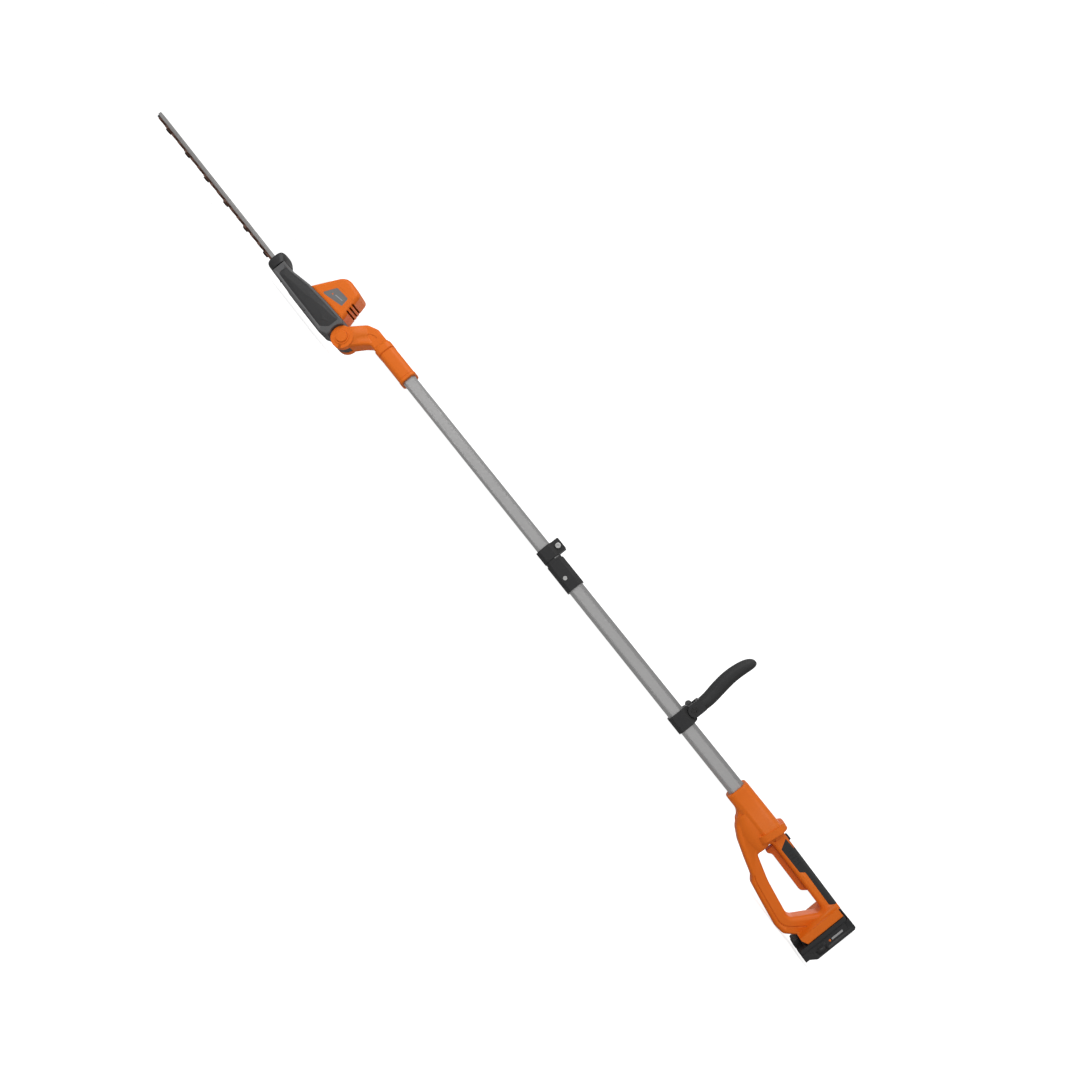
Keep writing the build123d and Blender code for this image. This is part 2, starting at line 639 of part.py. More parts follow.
with BuildPart() as outer_tube:
    add(pole_block(outer_front, outer_rear, outer_size, outer_corner))
    add(pole_block(outer_front - 1, outer_rear + 1, outer_bore, outer_bore_corner), mode=Mode.SUBTRACT)
outer_tube.part.label = "outer_tube"
export_step(outer_tube.part, "parts/outer_tube.step")

# ---------------------------------------------------------------- tube clamp
clamp_mid = (clamp_x0 + clamp_x1) / 2
lug_half_y = 11.0
sleeve_screw_x = 338.2
sleeve_screw_z = 100.2
sleeve_seat = sleeve_size / 2 - 1.3
with BuildPart() as clamp_sleeve:
    add(pole_block(clamp_x0, clamp_x1, sleeve_size - 1.0, 8.4))
    with Locations((clamp_mid, 0, (pole_z + lug_top) / 2)):
        Box(clamp_x1 - clamp_x0, 2 * lug_half_y, lug_top - pole_z)
    fillet(clamp_sleeve.faces().sort_by(Axis.Z)[-1].edges().filter_by(Axis.Y), 3.0)
    add(pole_block(clamp_x1 - 1, sleeve_x0 + 1, outer_size + 3.0, 7.2))
    add(pole_block(sleeve_x0, sleeve_x1, sleeve_size, 8.6))
    add(pole_block(clamp_x0 - 1, outer_front - 0.5, outer_bore + 0.1, outer_bore_corner), mode=Mode.SUBTRACT)
    add(pole_block(outer_front - 0.5, sleeve_x1 + 1, outer_size + 2 * socket_gap,
        outer_corner + grow * socket_gap), mode=Mode.SUBTRACT)
    with Locations((clamp_mid, 0, (pole_z + lug_top) / 2 + 10)):
        Box(clamp_x1 - clamp_x0 + 10, 1.8, lug_top - pole_z + 1, mode=Mode.SUBTRACT)
    with Locations(((clamp_x1 + sleeve_x0) / 2 - 2.5, 0, 124.0)):
        Box(2.9, 60.0, 30.0, mode=Mode.SUBTRACT)
    add(cross_pin(clamp_bolt_x, clamp_bolt_z, clamp_bolt_d / 2 + pin_fit, -40, 40), mode=Mode.SUBTRACT)
    for side in (-1, 1):
        for radius, inner_end in ((2.1, 15.0), (4.7, sleeve_seat)):
            y0, y1 = sorted((side * inner_end, side * 30.0))
            add(cross_pin(sleeve_screw_x, sleeve_screw_z, radius, y0, y1), mode=Mode.SUBTRACT)
clamp_sleeve.part.label = "clamp_sleeve"
export_step(clamp_sleeve.part, "parts/clamp_sleeve.step")

with BuildPart() as sleeve_screws:
    for side in (-1, 1):
        screw_tip = side * (outer_size / 2 + socket_gap + 0.1)
        add(pan_screw(sleeve_screw_x, sleeve_screw_z, side * sleeve_seat, screw_tip, 2.0, 4.4, 1.8, side))
sleeve_screws.part.label = "sleeve_screws"
export_step(sleeve_screws.part, "parts/sleeve_screws.step")

cam_y = 19.2
cam_radius = cam_y - lug_half_y - 0.4
with BuildPart() as clamp_bolt:
    add(cross_pin(clamp_bolt_x, clamp_bolt_z, clamp_bolt_d / 2, -lug_half_y, cam_y - 4.0))
    add(cross_pin(clamp_bolt_x, clamp_bolt_z, 6.2, -lug_half_y - 3.6, -lug_half_y))
    fillet(clamp_bolt.faces().sort_by(Axis.Y)[0].edges(), 1.2)
    with BuildSketch(Plane.XZ.offset(lug_half_y + 1.4)):
        with Locations((clamp_bolt_x, clamp_bolt_z)):
            RegularPolygon(2.5, 6, major_radius=False)
    extrude(amount=6.0, mode=Mode.SUBTRACT)
    with Locations((clamp_bolt_x, cam_y, clamp_bolt_z)):
        Cylinder(5.0, 5.6, rotation=(0, 90, 0))
        Cylinder(2.5 + pin_fit, 6.0, rotation=(0, 90, 0), mode=Mode.SUBTRACT)
clamp_bolt.part.label = "clamp_bolt"
export_step(clamp_bolt.part, "parts/clamp_bolt.step")

with BuildPart() as cam_pin:
    with Locations((clamp_bolt_x, cam_y, clamp_bolt_z)):
        Cylinder(2.5, 23.0, rotation=(0, 90, 0))
cam_pin.part.label = "cam_pin"
export_step(cam_pin.part, "parts/cam_pin.step")

with BuildPart() as cam_lever:
    with BuildSketch(Plane.YZ.offset(clamp_bolt_x - 12.0)):
        Polygon((cam_y, clamp_bolt_z + cam_radius), (cam_y + 7.0, clamp_bolt_z + 3.0), (27.4, 120.0),
            (27.4, 96.0), (30.0, 86.5), (27.0, 85.0), (22.6, 95.0), (22.6, 119.0), (18.0, clamp_bolt_z - 4.0),
            align=None)
        with Locations((cam_y, clamp_bolt_z)):
            Circle(cam_radius)
    extrude(amount=24.0)
    with Locations((clamp_bolt_x, cam_y - 1.0, clamp_bolt_z)):
        Box(6.6, 17.5, 22.0, mode=Mode.SUBTRACT)
    with Locations((clamp_bolt_x, cam_y, clamp_bolt_z)):
        Cylinder(2.5 + pin_fit, 40.0, rotation=(0, 90, 0), mode=Mode.SUBTRACT)
    for i in range(4):
        with Locations((clamp_bolt_x, 28.0, 98.0 + 5.0 * i)):
            Box(16.0, 2.0, 1.6, mode=Mode.SUBTRACT)
cam_lever.part.label = "cam_lever"
export_step(cam_lever.part, "parts/cam_lever.step")

# ---------------------------------------------------------------- front handle
aux_half = aux_band / 2
with BuildPart() as aux_clamp:
    add(pole_block(aux_x - aux_half, aux_x + aux_half, aux_band_size, 8.6))
    with BuildSketch(Plane.XZ.offset(-(aux_ear_in - 0.4))):
        with Locations((aux_x, 122.0)):
            RectangleRounded(aux_band, 20.0, 6.0)
        with Locations((aux_x, aux_z)):
            Circle(aux_ear_radius - 0.3)
        with Locations((aux_x, aux_z - 8.0)):
            Rectangle(2 * aux_ear_radius - 0.6, 16.0)
    extrude(amount=2 * (aux_ear_in - 0.4))
    add(pole_block(aux_x - 40, aux_x + 40, outer_size + 0.5, outer_corner + grow * 0.25), mode=Mode.SUBTRACT)
    for side in (-1, 1):
        y0 = side * (aux_ear_in - 0.4)
        add(cross_pin(aux_x, aux_z, aux_ear_radius + 0.4, min(y0, side * 40), max(y0, side * 40)),
            mode=Mode.SUBTRACT)
    with Locations((aux_x, 0, 140.0)):
        Box(60.0, 1.8, 60.0, mode=Mode.SUBTRACT)
    add(cross_pin(aux_x, aux_z, aux_bolt_d / 2 + pin_fit, -40, 40), mode=Mode.SUBTRACT)
aux_clamp.part.label = "aux_clamp"
export_step(aux_clamp.part, "parts/aux_clamp.step")

aux_head_in = aux_ear_out - 3.4
with BuildPart() as aux_bolt:
    add(cross_pin(aux_x, aux_z, aux_bolt_d / 2, -aux_head_in, 27.0))
    add(cross_pin(aux_x, aux_z, 6.4, -aux_ear_out, -aux_head_in))
    with BuildSketch(Plane.XZ.offset(aux_head_in + 0.6)):
        with Locations((aux_x, aux_z)):
            RegularPolygon(4.4, 6, major_radius=False)
    extrude(amount=10.0, mode=Mode.SUBTRACT)
aux_bolt.part.label = "aux_bolt"
export_step(aux_bolt.part, "parts/aux_bolt.step")

knob_y = 21.6
with BuildPart() as aux_knob:
    add(cross_pin(aux_x, aux_z, 8.6, aux_ear_out + 0.3, knob_y + 1.0))
    with BuildSketch(Plane.XZ.offset(-knob_y - 9.0)):
        with Locations((aux_x, aux_z)):
            Circle(9.8)
            Rectangle(23.6, 12.6)
        with Locations((aux_x - 11.8, aux_z), (aux_x + 11.8, aux_z)):
            Circle(7.3)
    extrude(amount=9.0)
    fillet(aux_knob.faces().sort_by(Axis.Y)[-1].edges(), 1.6)
    add(cross_pin(aux_x, aux_z, aux_bolt_d / 2 + pin_fit, 0, 27.3), mode=Mode.SUBTRACT)
aux_knob.part.label = "aux_knob"
export_step(aux_knob.part, "parts/aux_knob.step")

bar_stations = [
    (150.0, 702.4, 26.2, 35.0), (172.0, 702.8, 27.8, 33.0), (191.0, 699.6, 29.8, 31.5),
    (211.0, 696.7, 29.8, 31.0), (230.0, 694.8, 28.8, 31.0), (249.0, 695.0, 27.6, 30.5),
    (268.0, 697.2, 26.4, 29.0), (284.0, 700.2, 21.0, 24.0), (292.5, 702.4, 11.0, 14.0),
]


def bar_loft(stations, shrink):
    """Curved bar through rounded sections given as (z, centre x, width x, width y)."""
    with BuildPart(mode=Mode.PRIVATE) as bar:
        for z, x, wide, deep in stations:
            with BuildSketch(Plane.XY.offset(z)):
                with Locations((x, 0)):
                    Ellipse((wide - shrink) / 2, (deep - shrink) / 2)
        loft()
    return bar.part


bar_skin = bar_loft(bar_stations, 0.0)
bar_core = bar_loft(bar_stations[:-2], 6.0)
with BuildPart() as aux_frame:
    with BuildSketch(Plane.XZ.offset(-aux_ear_out)):
        with Locations((aux_x, aux_z)):
            Circle(aux_ear_radius)
        with Locations((aux_x, aux_z + 11.0)):
            Rectangle(2 * aux_ear_radius, 22.0)
    extrude(amount=2 * aux_ear_out)
    fillet(aux_frame.faces().sort_by(Axis.Z)[-1].edges().filter_by(Axis.Y), 3.0)
    with Locations((aux_x, 0, aux_z - 2.0)):
        Box(60.0, 2 * aux_ear_in, 32.0, mode=Mode.SUBTRACT)
    add(bar_core)
    add(cross_pin(aux_x, aux_z, aux_bolt_d / 2 + pin_fit, -40, 40), mode=Mode.SUBTRACT)
    add(cross_pin(aux_x, aux_z, 6.7, -40, -aux_head_in), mode=Mode.SUBTRACT)
aux_frame.part.label = "aux_frame"
export_step(aux_frame.part, "parts/aux_frame.step")

with BuildPart() as aux_grip:
    add(bar_skin)
    add(aux_frame.part, mode=Mode.SUBTRACT)
    with BuildSketch(Plane.XZ.offset(-40)):
        with Locations((aux_x, 149.0)):
            Ellipse(15.0, 7.5)
    extrude(amount=80.0, mode=Mode.SUBTRACT)
aux_grip.part.label = "aux_grip"
export_step(aux_grip.part, "parts/aux_grip.step")

# ---------------------------------------------------------------- rear handle
frame_outline = [
    (884.0, 122.0, 0), (985.0, 122.2, 0), (1141.0, 116.7, 0), (1141.0, 36.0, 0),
    (1113.5, 2.6, 14.0), (1094.0, -0.4, 30.0), (1052.0, 6.5, 0), (1013.0, 13.6, 12.0),
    (1003.0, 22.6, 12.0), (975.0, 31.5, 60.0), (939.0, 44.2, 20.0), (918.5, 56.0, 25.0),
    (898.0, 78.0, 18.0), (884.0, 81.0, 0),
]
guard_hole = [
    (977.6, 91.5, 7.0), (977.3, 58.0, 9.0), (1026.0, 42.2, 120.0), (1098.0, 29.2, 12.0),
    (1128.6, 88.0, 9.0),
]
pad_outline = [
    (986.7, 117.6, 0), (996.8, 98.5, 3.0), (1047.7, 98.6, 3.0), (1053.7, 107.0, 4.0),
    (1122.1, 103.6, 4.0), (1128.4, 114.5, 2.0), (1125.0, 132.0, 0), (1014.0, 132.0, 0), (1008.6, 118.3, 2.0),
]
grip_outline = [(960.0, 120.4, 0), (985.0, 120.7, 0), (1134.0, 115.4, 0), (1134.0, 92.0, 0), (960.0, 93.0, 0)]
grip_hollow = [(990.0, 117.6, 4.0), (1120.0, 113.0, 4.0), (1120.0, 96.0, 3.0), (990.0, 96.0, 3.0)]
bar_hollow = [
    (1016.0, 18.5, 4.0), (1054.0, 11.6, 0), (1092.0, 5.2, 6.0), (1104.0, 9.0, 6.0), (1112.0, 24.0, 4.0),
    (1092.0, 25.2, 0), (1030.0, 36.0, 0), (1000.0, 46.0, 4.0), (1003.0, 30.0, 4.0),
]
front_hollow = [(930.0, 80.0, 0), (971.0, 80.0, 3.0), (971.0, 46.0, 4.0), (944.0, 49.0, 5.0), (926.0, 58.0, 4.0)]
handle_screw_spots = [(958.0, 62.0), (978.4, 99.3), (1034.0, 27.0), (1086.0, 17.0), (1122.6, 62.0)]
trigger_half = 7.0
frame_half = 16.2

frame_solid = side_prism(frame_outline, -frame_half, frame_half, 7.0, guard_hole)
grip_core = side_prism(grip_outline, -frame_half + 1.5, frame_half - 1.5, 5.6)
with BuildPart() as pad_space:
    add(side_prism(pad_outline, -30.0, 30.0))
    add(grip_core, mode=Mode.SUBTRACT)

handle_bosses = [cross_pin(x, z, 4.4, -frame_half + 1, frame_half - 1) for x, z in handle_screw_spots]
with BuildPart() as handle_space:
    add(side_prism(grip_hollow, -frame_half + 3.4, frame_half - 3.4))
    add(side_prism(bar_hollow, -frame_half + shell_wall, frame_half - shell_wall, 2.0))
    add(side_prism(front_hollow, -frame_half + shell_wall, frame_half - shell_wall, 2.0))
    for boss in handle_bosses:
        add(boss, mode=Mode.SUBTRACT)

with BuildPart() as handle_outer:
    add(frame_solid)
    add(rounded_block(socket_x0, 966.0, 46.0, pole_z - 24.6, pole_z + 23.6, 14.0, 3.0))
    with BuildSketch(Plane.YZ.offset(905.0)):
        with Locations((0, 84.0)):
            Ellipse(21.0, 17.0)
    with BuildSketch(Plane.YZ.offset(948.0)):
        with Locations((0, 76.0)):
            Ellipse(22.0, 29.0)
    with BuildSketch(Plane.YZ.offset(984.0)):
        with Locations((0, 72.0)):
            Ellipse(16.4, 14.0)
    loft()
    add(side_prism(guard_hole, -40, 40), mode=Mode.SUBTRACT)
    across = Vector(1, 0, 0).rotate(Axis.Y, flange_lean)
    with BuildSketch(Plane(Vector(flange_x, 0, 103.4) - across * 6.5, x_dir=(0, 1, 0), z_dir=across)):
        RectangleRounded(56.0, 64.0, 22.0)
    extrude(amount=13.0)
    with Locations(((base_x0 + base_x1) / 2, 0, (base_top + base_bottom) / 2)):
        Box(base_x1 - base_x0, 2 * base_half, base_top - base_bottom)
    edges = handle_outer.edges().filter_by(Axis.Z).group_by(Axis.X)[-1]
    fillet(edges, 4.0)

base_lip_half = 31.0
trigger_slot = [(983.5, 102.5, 0), (983.5, 84.0, 0), (1087.5, 84.0, 0), (1087.5, 103.0, 0)]
with BuildPart() as handle_body:
    add(handle_outer.part)
    with BuildSketch(Plane.XZ.offset(-60)):
        Polygon((1131.0, base_bottom - 0.1), (1134.0, 10.0), (1150.0, 10.0), (1150.0, 29.6), (base_x1, 29.6),
            align=None)
    extrude(amount=120.0, mode=Mode.SUBTRACT)
    add(handle_space.part, mode=Mode.SUBTRACT)
    add(pad_space.part, mode=Mode.SUBTRACT)
    add(pole_block(socket_x0 - 1, outer_rear + 0.3, outer_size + 2 * socket_gap,
        outer_corner + grow * socket_gap), mode=Mode.SUBTRACT)
    add(side_prism(trigger_slot, -trigger_half - 0.5, trigger_half + 0.5), mode=Mode.SUBTRACT)
    with Locations((991.0, 0, 118.6)):
        Box(13.0, 11.0, 24.0, mode=Mode.SUBTRACT)
    with Locations((base_x1 - 7.9, 0, (base_top - 3.0 + 10.0) / 2)):
        Box(10.4, 2 * base_lip_half, base_top - 13.0, mode=Mode.SUBTRACT)
    with Locations((base_x1, 0, (base_top - 3.0 + 10.0) / 2)):
        Box(8.0, 2 * (base_lip_half - 5.0), base_top - 13.0, mode=Mode.SUBTRACT)
    add(cross_pin(trigger_pivot_x, trigger_pivot_z, 2.0 + pin_fit, -11.5, 11.5), mode=Mode.SUBTRACT)
    for x, z in handle_screw_spots:
        add(cross_pin(x, z, 1.6, -12, 40), mode=Mode.SUBTRACT)
        add(cross_pin(x, z, 3.6, frame_half - 5.0, 40), mode=Mode.SUBTRACT)
    add(cross_pin(978.4, 99.3, 1.6, -40, -frame_half + 2.5), mode=Mode.SUBTRACT)

with BuildPart() as handle_left:
    add(handle_body.part)
    split(bisect_by=Plane.XZ, keep=Keep.TOP)
handle_left.part.label = "handle_left"
export_step(handle_left.part, "parts/handle_left.step")

with BuildPart() as handle_right:
    add(handle_body.part)
    split(bisect_by=Plane.XZ, keep=Keep.BOTTOM)
handle_right.part.label = "handle_right"
export_step(handle_right.part, "parts/handle_right.step")

with BuildPart() as grip_pad:
    add(frame_solid)
    add(pad_space.part, mode=Mode.INTERSECT)
grip_pad.part.label = "grip_pad"
export_step(grip_pad.part, "parts/grip_pad.step")

with BuildPart() as handle_screws:
    for x, z in handle_screw_spots:
        add(pan_screw(x, z, frame_half - 5.0, -11, 1.5, 3.3, 2.2, 1))
handle_screws.part.label = "handle_screws"
export_step(handle_screws.part, "parts/handle_screws.step")

trigger_outline = [
    (984.4, 99.5, 3.0), (984.4, 74.5, 4.0), (989.5, 73.2, 3.0), (996.0, 79.6, 8.0), (1076.0, 77.8, 10.0),
    (1086.2, 92.6, 5.0), (1086.6, 96.4, 0), (1000.0, 96.4, 0), (996.0, 101.0, 3.0),
]
with BuildPart() as trigger:
    add(side_prism(trigger_outline, -trigger_half, trigger_half, 1.6))
    add(cross_pin(trigger_pivot_x, trigger_pivot_z, 2.0 + pin_fit, -20, 20), mode=Mode.SUBTRACT)
trigger.part.label = "trigger"
export_step(trigger.part, "parts/trigger.step")

with BuildPart() as trigger_pin:
    add(cross_pin(trigger_pivot_x, trigger_pivot_z, 2.0, -11.4, 11.4))
trigger_pin.part.label = "trigger_pin"
export_step(trigger_pin.part, "parts/trigger_pin.step")

with BuildPart() as trigger_spring:
    add(coil((1064.0, 0, 96.9), (0, 0, 1), 3.6, 0.8, 15.0, 5))
trigger_spring.part.label = "trigger_spring"
export_step(trigger_spring.part, "parts/trigger_spring.step")

with BuildPart() as main_switch:
    with Locations((1026.0, 0, 110.2)):
        Box(28.0, 15.0, 10.0)
    fillet(main_switch.edges().filter_by(Axis.Z), 1.0)
    with Locations((1020.0, 0, 104.3)):
        Box(5.0, 4.0, 2.2)
    for x in (1017.0, 1026.0, 1035.0):
        with Locations((x, 0, 115.3)):
            Box(1.0, 5.0, 1.0)
main_switch.part.label = "main_switch"
export_step(main_switch.part, "parts/main_switch.step")

with BuildPart() as lock_button:
    with Locations((991.0, 0, 118.6)):
        Box(12.2, 10.2, 14.8)
    fillet(lock_button.edges().filter_by(Axis.Z), 2.5)
    fillet(lock_button.faces().sort_by(Axis.Z)[-1].edges(), 2.2)
    with Locations((991.0, 0, 111.4)):
        Cylinder(3.4, 5.0, mode=Mode.SUBTRACT)
lock_button.part.label = "lock_button"
export_step(lock_button.part, "parts/lock_button.step")

with BuildPart() as terminal_block:
    with Locations((1133.4, 0, 86.0)):
        Box(5.8, 24.0, 40.0)
    for y in (-7.5, 0.0, 7.5):
        with Locations((1138.0, y, 84.0)):
            Box(4.4, 1.2, 30.0)
terminal_block.part.label = "terminal_block"
export_step(terminal_block.part, "parts/terminal_block.step")

# ---------------------------------------------------------------- battery
frame_x0 = base_x1 + battery_gap
split_x = 1151.4
case_thick = 2.4
cell_d = 18.3
cell_length = 2 * base_half - 11.0
cell_x = split_x + 6.2
with BuildPart() as battery_case:
    with BuildSketch(Plane.XZ.offset(-base_half)):
        Polygon((split_x, battery_bottom), (1163.7, battery_bottom), (1163.9, 13.5), (battery_x1, 27.2),
            (battery_x1, 111.5), (1168.4, battery_top), (split_x, battery_top), align=None)
    extrude(amount=2 * base_half)
    fillet(battery_case.faces().sort_by(Axis.Y)[0].edges().group_by(Axis.X)[-1], 2.0)
    fillet(battery_case.faces().sort_by(Axis.Y)[-1].edges().group_by(Axis.X)[-1], 2.0)
    with BuildSketch(Plane.XZ.offset(-base_half + case_thick)):
        Polygon((split_x - 1, battery_bottom + case_thick), (1161.2, battery_bottom + case_thick), (1161.4, 14.6),
            (battery_x1 - case_thick, 28.4), (battery_x1 - case_thick, 110.6), (1167.4, battery_top - case_thick),
            (split_x - 1, battery_top - case_thick), align=None)
    extrude(amount=2 * (base_half - case_thick), mode=Mode.SUBTRACT)
    for side in (-1, 1):
        with Locations((1158.6, side * base_half, 80.0)):
            Box(12.4, 1.6, 50.0, mode=Mode.SUBTRACT)
        with Locations((1164.8, side * base_half, 42.2)):
            Box(9.8, 1.2, 24.6, mode=Mode.SUBTRACT)
battery_case.part.label = "battery_case"
export_step(battery_case.part, "parts/battery_case.step")

latch_z0 = 4.6
latch_z1 = 19.6
rail_half = base_lip_half - 0.6
neck_half = base_lip_half - 5.6
with BuildPart() as battery_frame:
    with Locations(((frame_x0 + split_x) / 2, 0, (battery_bottom + 112.2) / 2)):
        Box(split_x - frame_x0, 2 * base_half - 1.6, 112.2 - battery_bottom)
    fillet(battery_frame.edges().filter_by(Axis.X), 4.0)
    with Locations((1141.8, 0, 65.0)):
        Box(5.0, 2 * neck_half, 84.0)
    with Locations((1136.6, 0, 65.0)):
        Box(5.8, 2 * rail_half, 84.0)
    with Locations((1138.0, 0, 90.0)):
        Box(11.0, 28.0, 52.0, mode=Mode.SUBTRACT)
    with Locations((split_x, 0, 63.0)):
        Box(7.6, 2 * base_half - 8.0, 92.0, mode=Mode.SUBTRACT)
    with Locations((1147.8, 0, 12.1)):
        Box(14.0, 25.0, 16.2, mode=Mode.SUBTRACT)
battery_frame.part.label = "battery_frame"
export_step(battery_frame.part, "parts/battery_frame.step")

with BuildPart() as battery_latch:
    with BuildSketch(Plane.XZ.offset(-12.0)):
        Polygon((1135.2, 9.0), (1139.0, latch_z0), (1146.0, latch_z0), (1146.0, latch_z1), (1135.2, latch_z1),
            align=None)
    extrude(amount=24.0)
    fillet(battery_latch.edges().filter_by(Axis.Y).group_by(Axis.X)[0], 1.5)
    for i in range(3):
        with Locations((1135.0, 0, 10.6 + 3.0 * i)):
            Box(1.6, 18.0, 1.2, mode=Mode.SUBTRACT)
battery_latch.part.label = "battery_latch"
export_step(battery_latch.part, "parts/battery_latch.step")

with BuildPart() as latch_spring:
    add(coil((1146.6, 0, 12.4), (1, 0, 0), 3.6, 0.7, 4.2, 3))
latch_spring.part.label = "latch_spring"
export_step(latch_spring.part, "parts/latch_spring.step")

with BuildPart() as battery_cells:
    for i in range(5):
        with Locations((cell_x, 0, 26.8 + i * (cell_d + 0.3))):
            Cylinder(cell_d / 2, cell_length, rotation=(90, 0, 0))
battery_cells.part.label = "battery_cells"
export_step(battery_cells.part, "parts/battery_cells.step")

with BuildPart() as battery_gauge:
    for side in (-1, 1):
        with Locations((1159.6, side * (base_half - 0.5), 81.5)):
            Box(3.2, 0.6, 25.0)
battery_gauge.part.label = "battery_gauge"
export_step(battery_gauge.part, "parts/battery_gauge.step")
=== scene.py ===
"""Looks of a cordless telescoping pole hedge trimmer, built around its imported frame.

Lengths in the sub-assemblies are millimetres. Points of an outline start at the low corner of a
frame node's box. They are turned into metres where a mesh is made. Finishes and the studio are in
metres.
"""
import logging
import math
from dataclasses import dataclass
from enum import Enum
from typing import ClassVar, Iterable, Sequence

import bmesh
import bpy
from mathutils import Matrix, Vector
from mathutils.geometry import delaunay_2d_cdt


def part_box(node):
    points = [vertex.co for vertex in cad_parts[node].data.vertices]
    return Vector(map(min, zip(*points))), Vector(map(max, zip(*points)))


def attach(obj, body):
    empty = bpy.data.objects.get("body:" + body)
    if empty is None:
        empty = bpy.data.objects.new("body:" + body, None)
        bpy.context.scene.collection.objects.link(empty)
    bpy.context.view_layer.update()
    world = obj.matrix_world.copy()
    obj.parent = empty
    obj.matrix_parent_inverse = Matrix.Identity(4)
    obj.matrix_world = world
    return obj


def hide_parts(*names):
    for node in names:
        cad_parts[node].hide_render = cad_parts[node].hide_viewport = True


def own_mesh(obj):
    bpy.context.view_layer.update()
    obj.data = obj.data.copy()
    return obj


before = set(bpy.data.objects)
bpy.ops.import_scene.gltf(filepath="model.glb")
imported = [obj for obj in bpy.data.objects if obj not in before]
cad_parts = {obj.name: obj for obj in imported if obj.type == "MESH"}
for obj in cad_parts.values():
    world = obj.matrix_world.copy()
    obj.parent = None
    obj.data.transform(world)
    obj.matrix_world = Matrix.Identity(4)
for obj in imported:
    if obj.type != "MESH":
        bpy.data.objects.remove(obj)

LOG = logging.getLogger("trimmer")
MM = 0.001
TINY = 1e-6
WELD = 2e-6
FLAT_ANGLE = 0.4
OVERSHOOT = 3.0
Point2 = tuple[float, float]
Point3 = tuple[float, float, float]


# ------------------------------------------------------------------ finishes
class Surface(Enum):
    """The ways a surface of this tool is made."""

    MOULDED = "moulded"
    RUBBER = "rubber"
    EXTRUDED = "extruded"
    GROUND = "ground"
    PLATED = "plated"
    FILM = "film"


@dataclass(frozen=True)
class Finish:
    """One finish: its colour, gloss, and how strongly it is grained, mottled and worn.

    Lengths are metres and colours are linear.
    """

    name: str
    surface: Surface
    colour: Point3
    worn_colour: Point3
    roughness: float
    roughness_spread: float = 0.12
    metallic: float = 0.0
    grain_size: float = 0.0006
    grain_depth: float = 0.00003
    mottling: float = 0.08
    wear: float = 0.35
    dust: float = 0.06
    edge_radius: float = 0.0006
    coat: float = 0.0
    specular: float = 0.35


FINISHES: dict[str, Finish] = {
    finish.name: finish for finish in (
        Finish("housing_orange", Surface.MOULDED, (0.745, 0.148, 0.0065), (0.80, 0.24, 0.05), 0.46,
               grain_size=0.0007, mottling=0.05, wear=0.30, edge_radius=0.0011, dust=0.02,
               specular=0.22),
        Finish("trigger_orange", Surface.MOULDED, (0.60, 0.100, 0.006), (0.70, 0.20, 0.05), 0.44,
               mottling=0.05, edge_radius=0.0010, dust=0.02, specular=0.22),
        Finish("case_grey", Surface.MOULDED, (0.092, 0.092, 0.094), (0.17, 0.17, 0.17), 0.52,
               edge_radius=0.0009),
        Finish("panel_dark", Surface.MOULDED, (0.030, 0.030, 0.031), (0.08, 0.08, 0.08), 0.50,
               grain_size=0.0005, grain_depth=0.00005, edge_radius=0.0008),
        Finish("plastic_black", Surface.MOULDED, (0.019, 0.019, 0.020), (0.07, 0.07, 0.07), 0.46,
               edge_radius=0.0008),
        Finish("rubber_dark", Surface.RUBBER, (0.024, 0.0245, 0.025), (0.05, 0.05, 0.05), 0.62,
               grain_size=0.0009, grain_depth=0.00008, wear=0.2, dust=0.08, edge_radius=0.0009),
        Finish("tube_aluminium", Surface.EXTRUDED, (0.405, 0.402, 0.40), (0.58, 0.58, 0.58), 0.42,
               metallic=0.8, grain_depth=0.000004, mottling=0.04, wear=0.35, dust=0.02,
               edge_radius=0.0005, specular=0.5),
        Finish("rail_aluminium", Surface.EXTRUDED, (0.36, 0.355, 0.35), (0.50, 0.50, 0.50), 0.40,
               metallic=0.8, grain_depth=0.000004, wear=0.4, edge_radius=0.0004, specular=0.5),
        Finish("blade_steel", Surface.GROUND, (0.125, 0.062, 0.045), (0.30, 0.22, 0.19), 0.44,
               metallic=0.5, grain_depth=0.000005, mottling=0.25, wear=0.5, edge_radius=0.0003),
        Finish("fastener_steel", Surface.PLATED, (0.52, 0.52, 0.51), (0.66, 0.66, 0.66), 0.34,
               metallic=0.9, grain_depth=0.00001, mottling=0.12, edge_radius=0.0003, specular=0.5),
        Finish("blackened_steel", Surface.PLATED, (0.032, 0.031, 0.031), (0.20, 0.19, 0.19), 0.42,
               metallic=0.6, grain_depth=0.00001, mottling=0.15, wear=0.5, edge_radius=0.0004,
               specular=0.5),
        Finish("spring_steel", Surface.PLATED, (0.42, 0.42, 0.42), (0.6, 0.6, 0.6), 0.30,
               metallic=0.95, grain_depth=0.00001, edge_radius=0.0001, specular=0.5),
        Finish("label_grey", Surface.FILM, (0.155, 0.155, 0.157), (0.26, 0.26, 0.26), 0.38,
               grain_size=0.0004, grain_depth=0.00001, coat=0.25, mottling=0.1,
               edge_radius=0.0003),
        Finish("knob_grey", Surface.MOULDED, (0.11, 0.11, 0.11), (0.2, 0.2, 0.2), 0.5,
               edge_radius=0.0009),
        Finish("motor_steel", Surface.PLATED, (0.35, 0.35, 0.36), (0.5, 0.5, 0.5), 0.4,
               metallic=0.9, edge_radius=0.0004, specular=0.5),
        Finish("cell_wrap", Surface.FILM, (0.05, 0.12, 0.3), (0.1, 0.2, 0.4), 0.35, coat=0.4,
               edge_radius=0.0004),
        Finish("gauge_grey", Surface.FILM, (0.33, 0.33, 0.33), (0.5, 0.5, 0.5), 0.4,
               grain_depth=0.00001, edge_radius=0.0003),
    )
}


